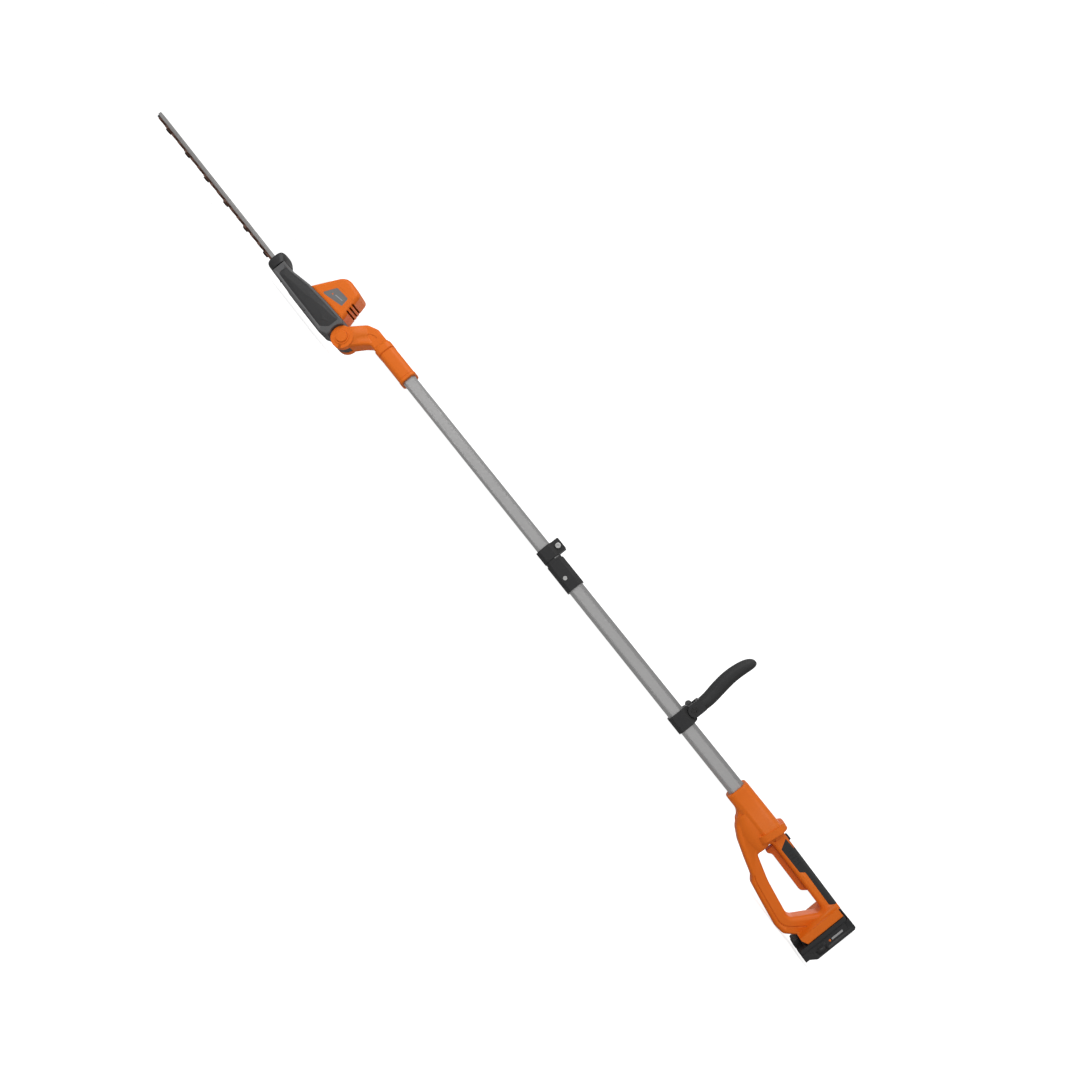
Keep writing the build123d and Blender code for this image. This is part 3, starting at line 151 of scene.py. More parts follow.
class EffectGroups:
    """Shader node groups shared by the finishes, each built once."""

    bevel_samples: ClassVar[int] = 4
    line_density: ClassVar[float] = 900.0
    line_stretch: ClassVar[Point3] = (0.0015, 1.0, 1.0)
    broad_line_share: ClassVar[float] = 0.18
    fine_grain_scale: ClassVar[float] = 1.7
    slow_scale: ClassVar[float] = 14.0
    quick_scale: ClassVar[float] = 120.0
    slow_share: ClassVar[float] = 0.65
    speck_scale: ClassVar[float] = 900.0
    speck_limit: ClassVar[float] = 0.60
    edge_gain: ClassVar[float] = 3.5
    patch_scale: ClassVar[float] = 260.0
    patch_start: ClassVar[float] = 0.36
    patch_gain: ClassVar[float] = 2.6

    def __init__(self) -> None:
        """Builds the four effects."""
        self.grain = self._grain()
        self.lines = self._lines()
        self.tone = self._tone()
        self.wear = self._wear()

    @staticmethod
    def _new(name: str, inputs: Sequence[tuple[str, str, float]],
             outputs: Sequence[tuple[str, str]]) -> tuple:
        """Makes an empty group.

        Args:
            name: Name of the group.
            inputs: Name, socket type and default of each input.
            outputs: Name and socket type of each output.

        Returns:
            The group, its input node and its output node.
        """
        group = bpy.data.node_groups.new(name, "ShaderNodeTree")
        for label, kind, value in inputs:
            socket = group.interface.new_socket(label, in_out="INPUT", socket_type=kind)
            if kind == "NodeSocketFloat":
                socket.default_value = value
        for label, kind in outputs:
            group.interface.new_socket(label, in_out="OUTPUT", socket_type=kind)
        return group, group.nodes.new("NodeGroupInput"), group.nodes.new("NodeGroupOutput")

    @staticmethod
    def _math(group: bpy.types.NodeTree, operation: str, first: object, second: object,
              clamp: bool = False) -> bpy.types.NodeSocket:
        """Adds a Math node.

        Args:
            group: Tree that gets the node.
            operation: Name of the operation.
            first: Socket or number.
            second: Socket or number.
            clamp: Whether the result is kept from 0 to 1.

        Returns:
            The node's output socket.
        """
        node = group.nodes.new("ShaderNodeMath")
        node.operation = operation
        node.use_clamp = clamp
        for place, value in enumerate((first, second)):
            if isinstance(value, (int, float)):
                node.inputs[place].default_value = value
            else:
                group.links.new(value, node.inputs[place])
        return node.outputs[0]

    def _noise(self, group: bpy.types.NodeTree, place: bpy.types.NodeSocket, scale: object,
               detail: float) -> bpy.types.NodeSocket:
        """Adds a Noise Texture.

        Args:
            group: Tree that gets the node.
            place: Socket with the coordinates.
            scale: Socket or number for the scale.
            detail: Number of octaves.

        Returns:
            The socket with the noise's value.
        """
        node = group.nodes.new("ShaderNodeTexNoise")
        node.inputs["Detail"].default_value = detail
        group.links.new(place, node.inputs["Vector"])
        if isinstance(scale, (int, float)):
            node.inputs["Scale"].default_value = scale
        else:
            group.links.new(scale, node.inputs["Scale"])
        return node.outputs["Fac"]

    def _grain(self) -> bpy.types.NodeTree:
        """Pebbled mould grain: small cells over a finer noise.

        Returns:
            The group.
        """
        group, given, out = self._new("mould_grain", [("Size", "NodeSocketFloat", 0.0006)],
                                      [("Height", "NodeSocketFloat")])
        place = group.nodes.new("ShaderNodeTexCoord").outputs["Object"]
        scale = self._math(group, "DIVIDE", 1.0, given.outputs["Size"])
        cells = group.nodes.new("ShaderNodeTexVoronoi")
        cells.feature = "SMOOTH_F1"
        group.links.new(place, cells.inputs["Vector"])
        group.links.new(scale, cells.inputs["Scale"])
        finer = self._math(group, "MULTIPLY", scale, self.fine_grain_scale)
        fine = self._noise(group, place, finer, 3.0)
        height = self._math(group, "MULTIPLY", cells.outputs["Distance"], fine)
        group.links.new(height, out.inputs["Height"])
        return group

    def _lines(self) -> bpy.types.NodeTree:
        """Fine die lines along X, as drawn or ground metal has.

        Returns:
            The group.
        """
        group, given, out = self._new(
            "draw_lines", [("Density", "NodeSocketFloat", self.line_density)],
            [("Height", "NodeSocketFloat"), ("Streak", "NodeSocketFloat")])
        place = group.nodes.new("ShaderNodeTexCoord").outputs["Object"]
        stretch = group.nodes.new("ShaderNodeMapping")
        stretch.inputs["Scale"].default_value = self.line_stretch
        group.links.new(place, stretch.inputs["Vector"])
        fine = self._noise(group, stretch.outputs["Vector"], given.outputs["Density"], 4.0)
        wide = self._math(group, "MULTIPLY", given.outputs["Density"], self.broad_line_share)
        broad = self._noise(group, stretch.outputs["Vector"], wide, 2.0)
        group.links.new(fine, out.inputs["Height"])
        streak = self._math(group, "ADD", self._math(group, "MULTIPLY", fine, 0.5),
                            self._math(group, "MULTIPLY", broad, 0.5))
        group.links.new(streak, out.inputs["Streak"])
        return group

    def _tone(self) -> bpy.types.NodeTree:
        """Slow drift of tone over a surface, and a speckle of dust on what faces up.

        Returns:
            The group.
        """
        group, given, out = self._new(
            "tone_and_dust",
            [("Mottling", "NodeSocketFloat", 0.08), ("Dust", "NodeSocketFloat", 0.05)],
            [("Tone", "NodeSocketFloat"), ("Dust", "NodeSocketFloat"),
             ("Smudge", "NodeSocketFloat")])
        place = group.nodes.new("ShaderNodeTexCoord").outputs["Object"]
        slow = self._noise(group, place, self.slow_scale, 4.0)
        quick = self._noise(group, place, self.quick_scale, 5.0)
        mixed = self._math(group, "ADD", self._math(group, "MULTIPLY", slow, self.slow_share),
                           self._math(group, "MULTIPLY", quick, 1.0 - self.slow_share))
        swing = self._math(group, "MULTIPLY", self._math(group, "SUBTRACT", mixed, 0.5),
                           given.outputs["Mottling"])
        group.links.new(self._math(group, "ADD", 1.0, self._math(group, "MULTIPLY", swing, 2.0)),
                        out.inputs["Tone"])
        facing = group.nodes.new("ShaderNodeSeparateXYZ")
        group.links.new(group.nodes.new("ShaderNodeNewGeometry").outputs["Normal"],
                        facing.inputs["Vector"])
        up = self._math(group, "MAXIMUM", facing.outputs["Z"], 0.0)
        specks = self._math(group, "GREATER_THAN",
                            self._noise(group, place, self.speck_scale, 2.0), self.speck_limit)
        haze = self._math(group, "ADD", self._math(group, "MULTIPLY", specks, 0.5), slow)
        group.links.new(self._math(group, "MULTIPLY", self._math(group, "MULTIPLY", up, haze),
                                   given.outputs["Dust"], clamp=True), out.inputs["Dust"])
        group.links.new(quick, out.inputs["Smudge"])
        return group

    def _wear(self) -> bpy.types.NodeTree:
        """Rubbed edges: where a rounded normal leaves the flat one, broken up by noise.

        Returns:
            The group.
        """
        group, given, out = self._new(
            "rubbed_edges",
            [("Radius", "NodeSocketFloat", 0.0008), ("Amount", "NodeSocketFloat", 0.4)],
            [("Mask", "NodeSocketFloat")])
        place = group.nodes.new("ShaderNodeTexCoord").outputs["Object"]
        rounded = group.nodes.new("ShaderNodeBevel")
        rounded.samples = self.bevel_samples
        group.links.new(given.outputs["Radius"], rounded.inputs["Radius"])
        match = group.nodes.new("ShaderNodeVectorMath")
        match.operation = "DOT_PRODUCT"
        group.links.new(rounded.outputs["Normal"], match.inputs[0])
        group.links.new(group.nodes.new("ShaderNodeNewGeometry").outputs["True Normal"],
                        match.inputs[1])
        turned = self._math(group, "SUBTRACT", 1.0, match.outputs["Value"])
        edge = self._math(group, "MULTIPLY", turned, self.edge_gain, True)
        breakup = self._noise(group, place, self.patch_scale, 5.0)
        patchy = self._math(group, "MULTIPLY",
                            self._math(group, "SUBTRACT", breakup, self.patch_start),
                            self.patch_gain, True)
        group.links.new(self._math(group, "MULTIPLY", self._math(group, "MULTIPLY", edge, patchy),
                                   given.outputs["Amount"], True), out.inputs["Mask"])
        return group


class FinishShop:
    """Turns each finish into a Blender material, once."""

    coat_roughness: ClassVar[float] = 0.15
    dust_colour: ClassVar[Point3] = (0.45, 0.43, 0.40)
    noise_range: ClassVar[Point2] = (0.3, 0.7)
    mix_share: ClassVar[int] = 0
    mix_first: ClassVar[int] = 6
    mix_second: ClassVar[int] = 7
    mix_result: ClassVar[int] = 2

    def __init__(self) -> None:
        """Builds the shared effects."""
        self.effects = EffectGroups()
        self._made: dict[str, bpy.types.Material] = {}

    def material(self, name: str) -> bpy.types.Material:
        """Returns the material of the finish with that name."""
        if name not in self._made:
            self._made[name] = self._build(FINISHES[name])
        return self._made[name]

    def _build(self, finish: Finish) -> bpy.types.Material:
        """Builds one material.

        Args:
            finish: The finish to build.

        Returns:
            The material.
        """
        material = bpy.data.materials.new(finish.name)
        material.use_nodes = True
        tree = material.node_tree
        nodes, links = tree.nodes, tree.links
        shader = nodes["Principled BSDF"]
        shader.inputs["Metallic"].default_value = finish.metallic
        shader.inputs["Coat Weight"].default_value = finish.coat
        shader.inputs["Coat Roughness"].default_value = self.coat_roughness
        shader.inputs["Specular IOR Level"].default_value = finish.specular

        tone = self._group(tree, self.effects.tone, Mottling=finish.mottling, Dust=finish.dust)
        wear = self._group(tree, self.effects.wear, Radius=finish.edge_radius, Amount=finish.wear)
        lined = finish.surface in (Surface.EXTRUDED, Surface.GROUND)
        if lined:
            relief = self._group(tree, self.effects.lines, Density=self.effects.line_density)
        else:
            relief = self._group(tree, self.effects.grain, Size=finish.grain_size)

        toned = nodes.new("ShaderNodeVectorMath")
        toned.operation = "SCALE"
        toned.inputs[0].default_value = finish.colour
        links.new(tone.outputs["Tone"], toned.inputs["Scale"])
        rubbed = self._mix(tree, wear.outputs["Mask"], toned.outputs[0], finish.worn_colour)
        dusted = self._mix(tree, tone.outputs["Dust"], rubbed, self.dust_colour)
        links.new(dusted, shader.inputs["Base Color"])

        spread = nodes.new("ShaderNodeMapRange")
        half = finish.roughness_spread / 2
        for label, value in (("From Min", self.noise_range[0]), ("From Max", self.noise_range[1]),
                             ("To Min", finish.roughness - half),
                             ("To Max", finish.roughness + half)):
            spread.inputs[label].default_value = value
        source = relief.outputs["Streak"] if lined else tone.outputs["Smudge"]
        links.new(source, spread.inputs["Value"])
        links.new(spread.outputs["Result"], shader.inputs["Roughness"])

        rounded = nodes.new("ShaderNodeBevel")
        rounded.samples = self.effects.bevel_samples
        rounded.inputs["Radius"].default_value = finish.edge_radius
        bump = nodes.new("ShaderNodeBump")
        bump.inputs["Distance"].default_value = finish.grain_depth
        bump.inputs["Strength"].default_value = 1.0
        links.new(relief.outputs["Height"], bump.inputs["Height"])
        links.new(rounded.outputs["Normal"], bump.inputs["Normal"])
        links.new(bump.outputs["Normal"], shader.inputs["Normal"])
        return material

    @staticmethod
    def _group(tree: bpy.types.NodeTree, group: bpy.types.NodeTree,
               **values: float) -> bpy.types.Node:
        """Places a node group in a material.

        Args:
            tree: The material's tree.
            group: The group.
            **values: Values of its inputs.

        Returns:
            The group node.
        """
        node = tree.nodes.new("ShaderNodeGroup")
        node.node_tree = group
        for label, value in values.items():
            node.inputs[label].default_value = value
        return node

    def _mix(self, tree: bpy.types.NodeTree, share: bpy.types.NodeSocket,
             first: bpy.types.NodeSocket, second: Point3) -> bpy.types.NodeSocket:
        """Mixes a colour over another.

        Args:
            tree: The material's tree.
            share: Socket with the share of the second colour.
            first: Socket with the first colour.
            second: The second colour.

        Returns:
            The socket with the mixed colour.
        """
        mix = tree.nodes.new("ShaderNodeMix")
        mix.data_type = "RGBA"
        tree.links.new(share, mix.inputs[self.mix_share])
        tree.links.new(first, mix.inputs[self.mix_first])
        mix.inputs[self.mix_second].default_value = (*second, 1.0)
        return mix.outputs[self.mix_result]


# ------------------------------------------------------------------ mesh tools
def arc_points(centre: Point2, radius: float, start: float, stop: float,
               steps: int) -> list[Point2]:
    """Points along an arc.

    Args:
        centre: Centre of the arc.
        radius: Its radius.
        start: First angle in degrees.
        stop: Last angle in degrees.
        steps: Number of runs.

    Returns:
        The points, both ends included.
    """
    turns = [math.radians(start + (stop - start) * i / steps) for i in range(steps + 1)]
    return [(centre[0] + radius * math.cos(t), centre[1] + radius * math.sin(t)) for t in turns]


def smooth_path(points: Sequence[Point2], steps: int = 6) -> list[Point2]:
    """A Catmull-Rom curve through points.

    Args:
        points: The points it passes.
        steps: Runs between two points.

    Returns:
        Points along the curve.
    """
    padded = [points[0], *points, points[-1]]
    path: list[Point2] = []
    for i in range(1, len(padded) - 2):
        p0, p1, p2, p3 = (Vector(p) for p in padded[i - 1:i + 3])
        for k in range(steps):
            t = k / steps
            spot = ((2 * p1) + (p2 - p0) * t + (2 * p0 - 5 * p1 + 4 * p2 - p3) * t * t
                    + (3 * p1 - p0 - 3 * p2 + p3) * t ** 3)
            path.append(tuple(0.5 * spot))
    path.append(tuple(points[-1]))
    return path


def ring_mesh(name: str, rings: Sequence[Sequence[Point3]],
              around: bool = False) -> bpy.types.Object:
    """Skin over rings of points that all have the same count.

    Args:
        name: Name of the object.
        rings: The rings, in millimetres.
        around: Whether the last ring joins the first. If not, both ends are capped.

    Returns:
        The new object, with its faces turned outwards.
    """
    work = bmesh.new()
    loops = [[work.verts.new(Vector(p) * MM) for p in ring] for ring in rings]
    count = len(loops[0])
    pairs = list(zip(loops, loops[1:])) + ([(loops[-1], loops[0])] if around else [])
    for low, high in pairs:
        for i in range(count):
            j = (i + 1) % count
            work.faces.new((low[i], low[j], high[j], high[i]))
    if not around:
        work.faces.new(loops[0])
        work.faces.new(loops[-1])
    bmesh.ops.recalc_face_normals(work, faces=work.faces)
    return object_from(name, work)


def object_from(name: str, work: bmesh.types.BMesh) -> bpy.types.Object:
    """Makes a linked object from a bmesh and frees it."""
    mesh = bpy.data.meshes.new(name)
    work.to_mesh(mesh)
    work.free()
    made = bpy.data.objects.new(name, mesh)
    bpy.context.scene.collection.objects.link(made)
    return made


def side_slab(name: str, outline: Sequence[Point2], y0: float, y1: float,
              bevel: float = 0.0) -> bpy.types.Object:
    """A slab whose outline lies in the side view.

    Args:
        name: Name of the object.
        outline: Its corners (x, z) in millimetres.
        y0: Nearest Y.
        y1: Farthest Y.
        bevel: Width of the chamfer along the edges of both faces.

    Returns:
        The new object.
    """
    work = bmesh.new()
    near = [work.verts.new(Vector((x, y0, z)) * MM) for x, z in outline]
    far = [work.verts.new(Vector((x, y1, z)) * MM) for x, z in outline]
    work.faces.new(near)
    work.faces.new(list(reversed(far)))
    for i in range(len(outline)):
        j = (i + 1) % len(outline)
        work.faces.new((near[j], near[i], far[i], far[j]))
    bmesh.ops.recalc_face_normals(work, faces=work.faces)
    if bevel > 0:
        caps = [e for e in work.edges if abs(e.verts[0].co.y - e.verts[1].co.y) < TINY / 10]
        bmesh.ops.bevel(work, geom=caps, offset=bevel * MM, segments=1, affect="EDGES",
                        profile=0.5, clamp_overlap=True)
    return object_from(name, work)


def tube_along(name: str, path: Sequence[Point3], radius: float,
               sides: int = 10) -> bpy.types.Object:
    """A round bead along a path.

    Args:
        name: Name of the object.
        path: Points in millimetres.
        radius: Radius of the bead.
        sides: Faces around it.

    Returns:
        The new object.
    """
    spots = [Vector(p) for p in path]
    rings = []
    for i, spot in enumerate(spots):
        ahead = (spots[min(i + 1, len(spots) - 1)] - spots[max(i - 1, 0)]).normalized()
        side = ahead.cross(Vector((0, 1, 0)))
        side = side.normalized() if side.length > TINY else Vector((1, 0, 0))
        up = side.cross(ahead).normalized()
        rings.append([tuple(spot + radius * (math.cos(a) * side + math.sin(a) * up))
                      for a in (2 * math.pi * k / sides for k in range(sides))])
    return ring_mesh(name, rings)


def lathe(name: str, profile: Sequence[Point2], centre: Point2,
          sides: int = 48) -> bpy.types.Object:
    """A turned shape with its axis along Y.

    Args:
        name: Name of the object.
        profile: Points (radius, y) in millimetres; the first and last have no radius.
        centre: Where the axis lies (x, z).
        sides: Faces around it.

    Returns:
        The new object.
    """
    work = bmesh.new()
    rings = []
    for radius, y in profile:
        if radius < TINY:
            rings.append([work.verts.new(Vector((centre[0], y, centre[1])) * MM)])
        else:
            rings.append([work.verts.new(Vector((centre[0] + radius * math.cos(a), y,
                                                 centre[1] + radius * math.sin(a))) * MM)
                          for a in (2 * math.pi * k / sides for k in range(sides))])
    for low, high in zip(rings, rings[1:]):
        for i in range(sides):
            j = (i + 1) % sides
            if len(low) == 1:
                work.faces.new((low[0], high[j], high[i]))
            elif len(high) == 1:
                work.faces.new((low[i], low[j], high[0]))
            else:
                work.faces.new((low[i], low[j], high[j], high[i]))
    bmesh.ops.recalc_face_normals(work, faces=work.faces)
    return object_from(name, work)


def soften(piece: bpy.types.Object, angle: float) -> None:
    """Shades a piece smoothly except over edges sharper than the angle in degrees."""
    piece.data.polygons.foreach_set("use_smooth", [True] * len(piece.data.polygons))
    piece.data.set_sharp_from_angle(angle=math.radians(angle))


def copy_of_node(node: str, name: str) -> bpy.types.Object:
    """A merged copy of a frame node's mesh, ready to be cut.

    Args:
        node: The frame node.
        name: Name of the copy.

    Returns:
        The copy, with no materials.
    """
    work = bmesh.new()
    work.from_mesh(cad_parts[node].data)
    bmesh.ops.remove_doubles(work, verts=work.verts, dist=WELD)
    bmesh.ops.dissolve_degenerate(work, edges=work.edges, dist=TINY)
    bmesh.ops.dissolve_limit(work, angle_limit=math.radians(FLAT_ANGLE), verts=work.verts,
                             edges=work.edges)
    for layer in list(work.loops.layers.uv):
        work.loops.layers.uv.remove(layer)
    return object_from(name, work)


def carve(piece: bpy.types.Object, cutters: Iterable[bpy.types.Object]) -> bpy.types.Object:
    """Cuts the cutters out of a piece and removes them.

    Args:
        piece: The piece to cut.
        cutters: Closed shapes.

    Returns:
        The piece with its new mesh.
    """
    for cutter in cutters:
        cut = piece.modifiers.new("cut", "BOOLEAN")
        cut.operation = "DIFFERENCE"
        cut.solver = "EXACT"
        cut.object = cutter
        apply_modifiers(piece)
        old = cutter.data
        bpy.data.objects.remove(cutter)
        bpy.data.meshes.remove(old)
    return piece


def apply_modifiers(piece: bpy.types.Object) -> bpy.types.Object:
    """Bakes a piece's modifiers into its mesh and removes them.

    Args:
        piece: The piece.

    Returns:
        The same piece with its new mesh.
    """
    bpy.context.view_layer.update()
    graph = bpy.context.evaluated_depsgraph_get()
    mesh = bpy.data.meshes.new_from_object(piece.evaluated_get(graph))
    piece.modifiers.clear()
    old = piece.data
    piece.data = mesh
    mesh.name = piece.name
    bpy.data.meshes.remove(old)
    return piece


def round_over(piece: bpy.types.Object) -> bpy.types.Object:
    """Adds one level of Catmull-Clark subdivision to a piece and applies it."""
    smooth = piece.modifiers.new("round", "SUBSURF")
    smooth.levels = smooth.render_levels = 1
    return apply_modifiers(piece)


# ------------------------------------------------------------------ repeats
class RowTree:
    """A Geometry Nodes tree that repeats a shape along a straight row."""

    def __init__(self) -> None:
        """Builds the tree."""
        self.tree = bpy.data.node_groups.new("repeat_in_a_row", "GeometryNodeTree")
        face = self.tree.interface
        self.sockets = {
            label: face.new_socket(label, in_out="INPUT", socket_type=kind).identifier
            for label, kind in (("Geometry", "NodeSocketGeometry"), ("Count", "NodeSocketInt"),
                                ("Start", "NodeSocketVector"), ("Step", "NodeSocketVector"),
                                ("Finish", "NodeSocketMaterial"))
        }
        face.new_socket("Geometry", in_out="OUTPUT", socket_type="NodeSocketGeometry")
        nodes, links = self.tree.nodes, self.tree.links
        given = nodes.new("NodeGroupInput")
        out = nodes.new("NodeGroupOutput")
        line = nodes.new("GeometryNodeMeshLine")
        line.mode = "OFFSET"
        links.new(given.outputs["Count"], line.inputs["Count"])
        links.new(given.outputs["Start"], line.inputs["Start Location"])
        links.new(given.outputs["Step"], line.inputs["Offset"])
        spread = nodes.new("GeometryNodeInstanceOnPoints")
        links.new(line.outputs["Mesh"], spread.inputs["Points"])
        links.new(given.outputs["Geometry"], spread.inputs["Instance"])
        real = nodes.new("GeometryNodeRealizeInstances")
        links.new(spread.outputs["Instances"], real.inputs["Geometry"])
        paint = nodes.new("GeometryNodeSetMaterial")
        links.new(real.outputs["Geometry"], paint.inputs["Geometry"])
        links.new(given.outputs["Finish"], paint.inputs["Material"])
        links.new(paint.outputs["Geometry"], out.inputs["Geometry"])

    def repeat(self, shape: bpy.types.Object, count: int, start: Point3, step: Point3,
               material: bpy.types.Material) -> bpy.types.Object:
        """Repeats a shape and turns the row into one plain mesh.

        Args:
            shape: The shape, built about the origin.
            count: How many there are.
            start: Place of the first, in millimetres.
            step: From one to the next, in millimetres.
            material: Material of the row.

        Returns:
            The same object, holding the whole row.
        """
        row = shape.modifiers.new("row", "NODES")
        row.node_group = self.tree
        row[self.sockets["Count"]] = count
        row[self.sockets["Start"]] = [c * MM for c in start]
        row[self.sockets["Step"]] = [c * MM for c in step]
        row[self.sockets["Finish"]] = material
        return apply_modifiers(shape)


# ------------------------------------------------------------------ sub-assemblies
@dataclass
class Box:
    """A frame node's box in millimetres."""

    node: str

    def __post_init__(self) -> None:
        """Reads the box from the frame."""
        low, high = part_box(self.node)
        self.low = Vector(low) / MM
        self.high = Vector(high) / MM

    def outline(self, points: Sequence[Point2]) -> list[Point2]:
        """Points (x, z) given from the low corner, in the frame."""
        return [(self.low.x + x, self.low.z + z) for x, z in points]


@dataclass
class SubAssembly:
    """What every sub-assembly does: dress frame nodes and add pieces to bodies.

    nodes gives the slot of each frame node, and own_finish the finish of those that are not
    finished as their slot is.
    """

    shop: FinishShop
    rows: RowTree
    body: str = ""

    nodes: ClassVar[dict[str, str]] = {}
    own_finish: ClassVar[dict[str, str]] = {}

    def dress_nodes(self) -> None:
        """Gives every frame node of this sub-assembly its finish."""
        for node, slot in self.nodes.items():
            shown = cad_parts[node]
            shown.data.materials.clear()
            shown.data.materials.append(self.shop.material(self.own_finish.get(node, slot)))
            LOG.info("node %s: %s", node, slot)

    def place(self, piece: bpy.types.Object, slot: str, body: str = "",
              replaces: Sequence[str] = (), sharp: float = 35.0,
              finish: str = "") -> bpy.types.Object:
        """Finishes a new piece and fixes it to a body.

        Args:
            piece: The piece, in its place.
            slot: The record's slot.
            body: The body it rides on, when it isn't the sub-assembly's own.
            replaces: Frame nodes that it stands for.
            sharp: Angle in degrees over which an edge stays sharp.
            finish: The finish, when it isn't the slot's own.

        Returns:
            The piece.
        """
        piece.data.materials.clear()
        piece.data.materials.append(self.shop.material(finish or slot))
        soften(piece, sharp)
        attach(piece, body or self.body)
        if replaces:
            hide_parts(*replaces)
        LOG.info("piece %s: %s, %d faces", piece.name, slot, len(piece.data.polygons))
        return piece

    def place_spring(self, node: str, joint: str, axis: Point3, travel: float) -> None:
        """A coil spring: a copy of its frame node, put in the node's place.

        Args:
            node: The frame node that it stands for.
            joint: The joint that presses it. Not used.
            axis: Direction from its pressed end to its fixed end, which is its high end. Not used.
            travel: How far the pressed end moves, in millimetres. Not used.
        """
        slot = self.nodes[node]
        spring = self.place(copy_of_node(node, f"{node}_coil"), slot, replaces=[node],
                            finish=self.own_finish.get(node, slot))
        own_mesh(spring)


@dataclass
class CuttingHead(SubAssembly):
    """Blades, bar, collar, case and motor cover."""

    body: str = "head"
    panel_rim: tuple = ((0, 0.9), (73, 0), (160, 0), (167, 0.5), (182, 15.4), (182, 42),
                        (130.5, 39.6), (68, 33.8), (30, 25.8), (0, 21.8))
    panel_top: tuple = ((5, 5.0), (74, 6.0), (143, 4.5), (154, 7.5), (173, 22), (177, 37.5),
                        (131, 35.0), (76, 28.0), (36, 19.5), (5, 14.5))
    panel_rise: float = 1.5
    panel_fall: float = 0.75
    panel_crest: tuple = ((14.0, 9.0), (46.0, 14.5), (81.0, 18.0), (112.0, 26.5), (139.0, 33.0))
    panel_fold: tuple = ((126.0, 22.0), (150.0, 20.0), (160.0, 15.6))
    panel_sharp: float = 1.5
    screw_spots: tuple = ((3.2, 28.8), (42.2, 3.2), (159.2, 3.6), (55.2, 39.8))
    screw_clearance: float = 4.4
    screw_reach: float = 60.0
    collar_stations: tuple = (
        (0.0, 21.0, 5.0, 43.2), (0.9, 24.0, 2.2, 46.2), (3.4, 26.2, 0.5, 47.9),
        (8.0, 27.0, 0.0, 48.2), (14.0, 27.0, 0.0, 47.4), (19.5, 27.0, 0.1, 44.6),
        (24.5, 27.0, 0.3, 41.4), (27.0, 27.0, 0.5, 39.8))
    label_line: tuple = ((8.5, 36.8), (32.0, 39.2), (55.5, 40.8), (58.0, 40.6), (59.5, 38.4),
                         (61.0, 22.0), (62.4, 4.5))
    line_radius: float = 0.75
    line_sink: float = 0.35
    notches: tuple = (
        ((36.4, 0.2), (38.0, 0.2), (38.0, 4.4), (40.6, 4.6), (40.6, 5.8), (36.4, 5.8)),
        ((130.2, 2.0), (132.0, 2.0), (132.0, 7.8), (130.2, 7.8)),
        ((132.0, 1.4), (176.0, 1.4), (176.0, 2.6), (132.0, 2.6)))
    notch_depth: float = 1.1
    # Depths and chamfer of the thin black slab in each notch, which is painted shadow and not a
    # real part.
    notch_shadow_floor: float = 1.3
    notch_shadow_lip: float = 0.5
    notch_shadow_bevel: float = 0.1
    mouth_half: float = 15.0
    mouth_low: float = 11.4
    mouth_high: float = 27.0
    mouth_lip: float = 1.2
    mouth_flare: float = 1.0
    mouth_power: float = 6.0
    mark_bar: tuple = ((24.0, 17.2), (46.0, 21.0), (46.0, 23.2), (24.0, 19.4))
    mark_dot: Point2 = (17.5, 15.0)
    mark_dot_radius: float = 1.9
    mark_height: float = 0.08

    nodes = {
        "head_lug": "case_grey", "case_left": "case_grey", "case_right": "case_grey",
        "case_sole": "case_grey", "side_panel_left": "panel_dark", "side_panel_right": "panel_dark",
        "blade_collar": "plastic_black", "support_bar": "rail_aluminium",
        "tip_guard": "plastic_black", "blade_bolts": "fastener_steel",
        "blade_nuts": "fastener_steel", "motor_cover_left": "housing_orange",
        "motor_cover_right": "housing_orange", "label_left": "label_grey",
        "label_right": "label_grey", "head_screws": "fastener_steel", "motor_can": "motor_steel",
        "gear_axle": "fastener_steel", "motor_pinion": "fastener_steel",
        "drive_gear": "fastener_steel", "upper_blade": "blade_steel", "lower_blade": "blade_steel",
    }
    own_finish = {"blade_nuts": "blackened_steel"}

    def build(self) -> None:
        """Builds and dresses the head."""
        self.dress_nodes()
        self.build_label_lines()
        self.build_case_sides()
        self.build_panels()
        self.build_collar()
        self.build_label_marks()

    def build_label_lines(self) -> None:
        """The fine raised line around two sides of each label."""
        for label, side in (("label_left", -1), ("label_right", 1)):
            plate = Box(label)
            line = smooth_path(plate.outline(self.label_line), 4)
            wall = plate.low.y if side < 0 else plate.high.y
            path = [(x, wall - side * self.line_sink, z) for x, z in line]
            self.place(tube_along(f"{label}_line", path, self.line_radius, 8), "housing_orange")

    def build_case_sides(self) -> None:
        """The case's halves, with notches in their lower edge and a thin black slab sunk in each
        notch as painted shadow.
        """
        for node, side in (("case_left", -1), ("case_right", 1)):
            box = Box(node)
            shell = copy_of_node(node, f"{node}_shell")
            wall = box.low.y if side < 0 else box.high.y
            near, far = sorted((wall - side * self.notch_depth, wall + side * OVERSHOOT))
            cutters = [side_slab("cut", box.outline(notch), near, far) for notch in self.notches]
            self.place(carve(shell, cutters), "case_grey", replaces=[node])
            # A thin black slab at the floor of each notch paints the shadow inside the notch.
            floor, lip = sorted((wall - side * self.notch_shadow_floor, wall - side * self.notch_shadow_lip))
            for count, notch in enumerate(self.notches, 1):
                notch_shadow = side_slab(f"{node}_seal_{count}", box.outline(notch), floor, lip,
                                 self.notch_shadow_bevel)
                self.place(notch_shadow, "plastic_black")

    def build_panels(self) -> None:
        """Faceted side panels, one for each side of the case."""
        for node, side in (("side_panel_left", -1), ("side_panel_right", 1)):
            box = Box(node)
            seat = box.low.y if side > 0 else box.high.y
            face = box.high.y if side > 0 else box.low.y
            panel = self.creased_panel(f"{node}_facets", box, seat, face, side)
            if side > 0:
                bore = [(0, 0), (self.screw_clearance, 0), (self.screw_clearance, self.screw_reach),
                        (0, self.screw_reach)]
                carve(panel, [lathe("cut", bore, spot, 32)
                              for spot in Box("head_screws").outline(self.screw_spots)])
            self.place(panel, "panel_dark", replaces=[node], sharp=self.panel_sharp)

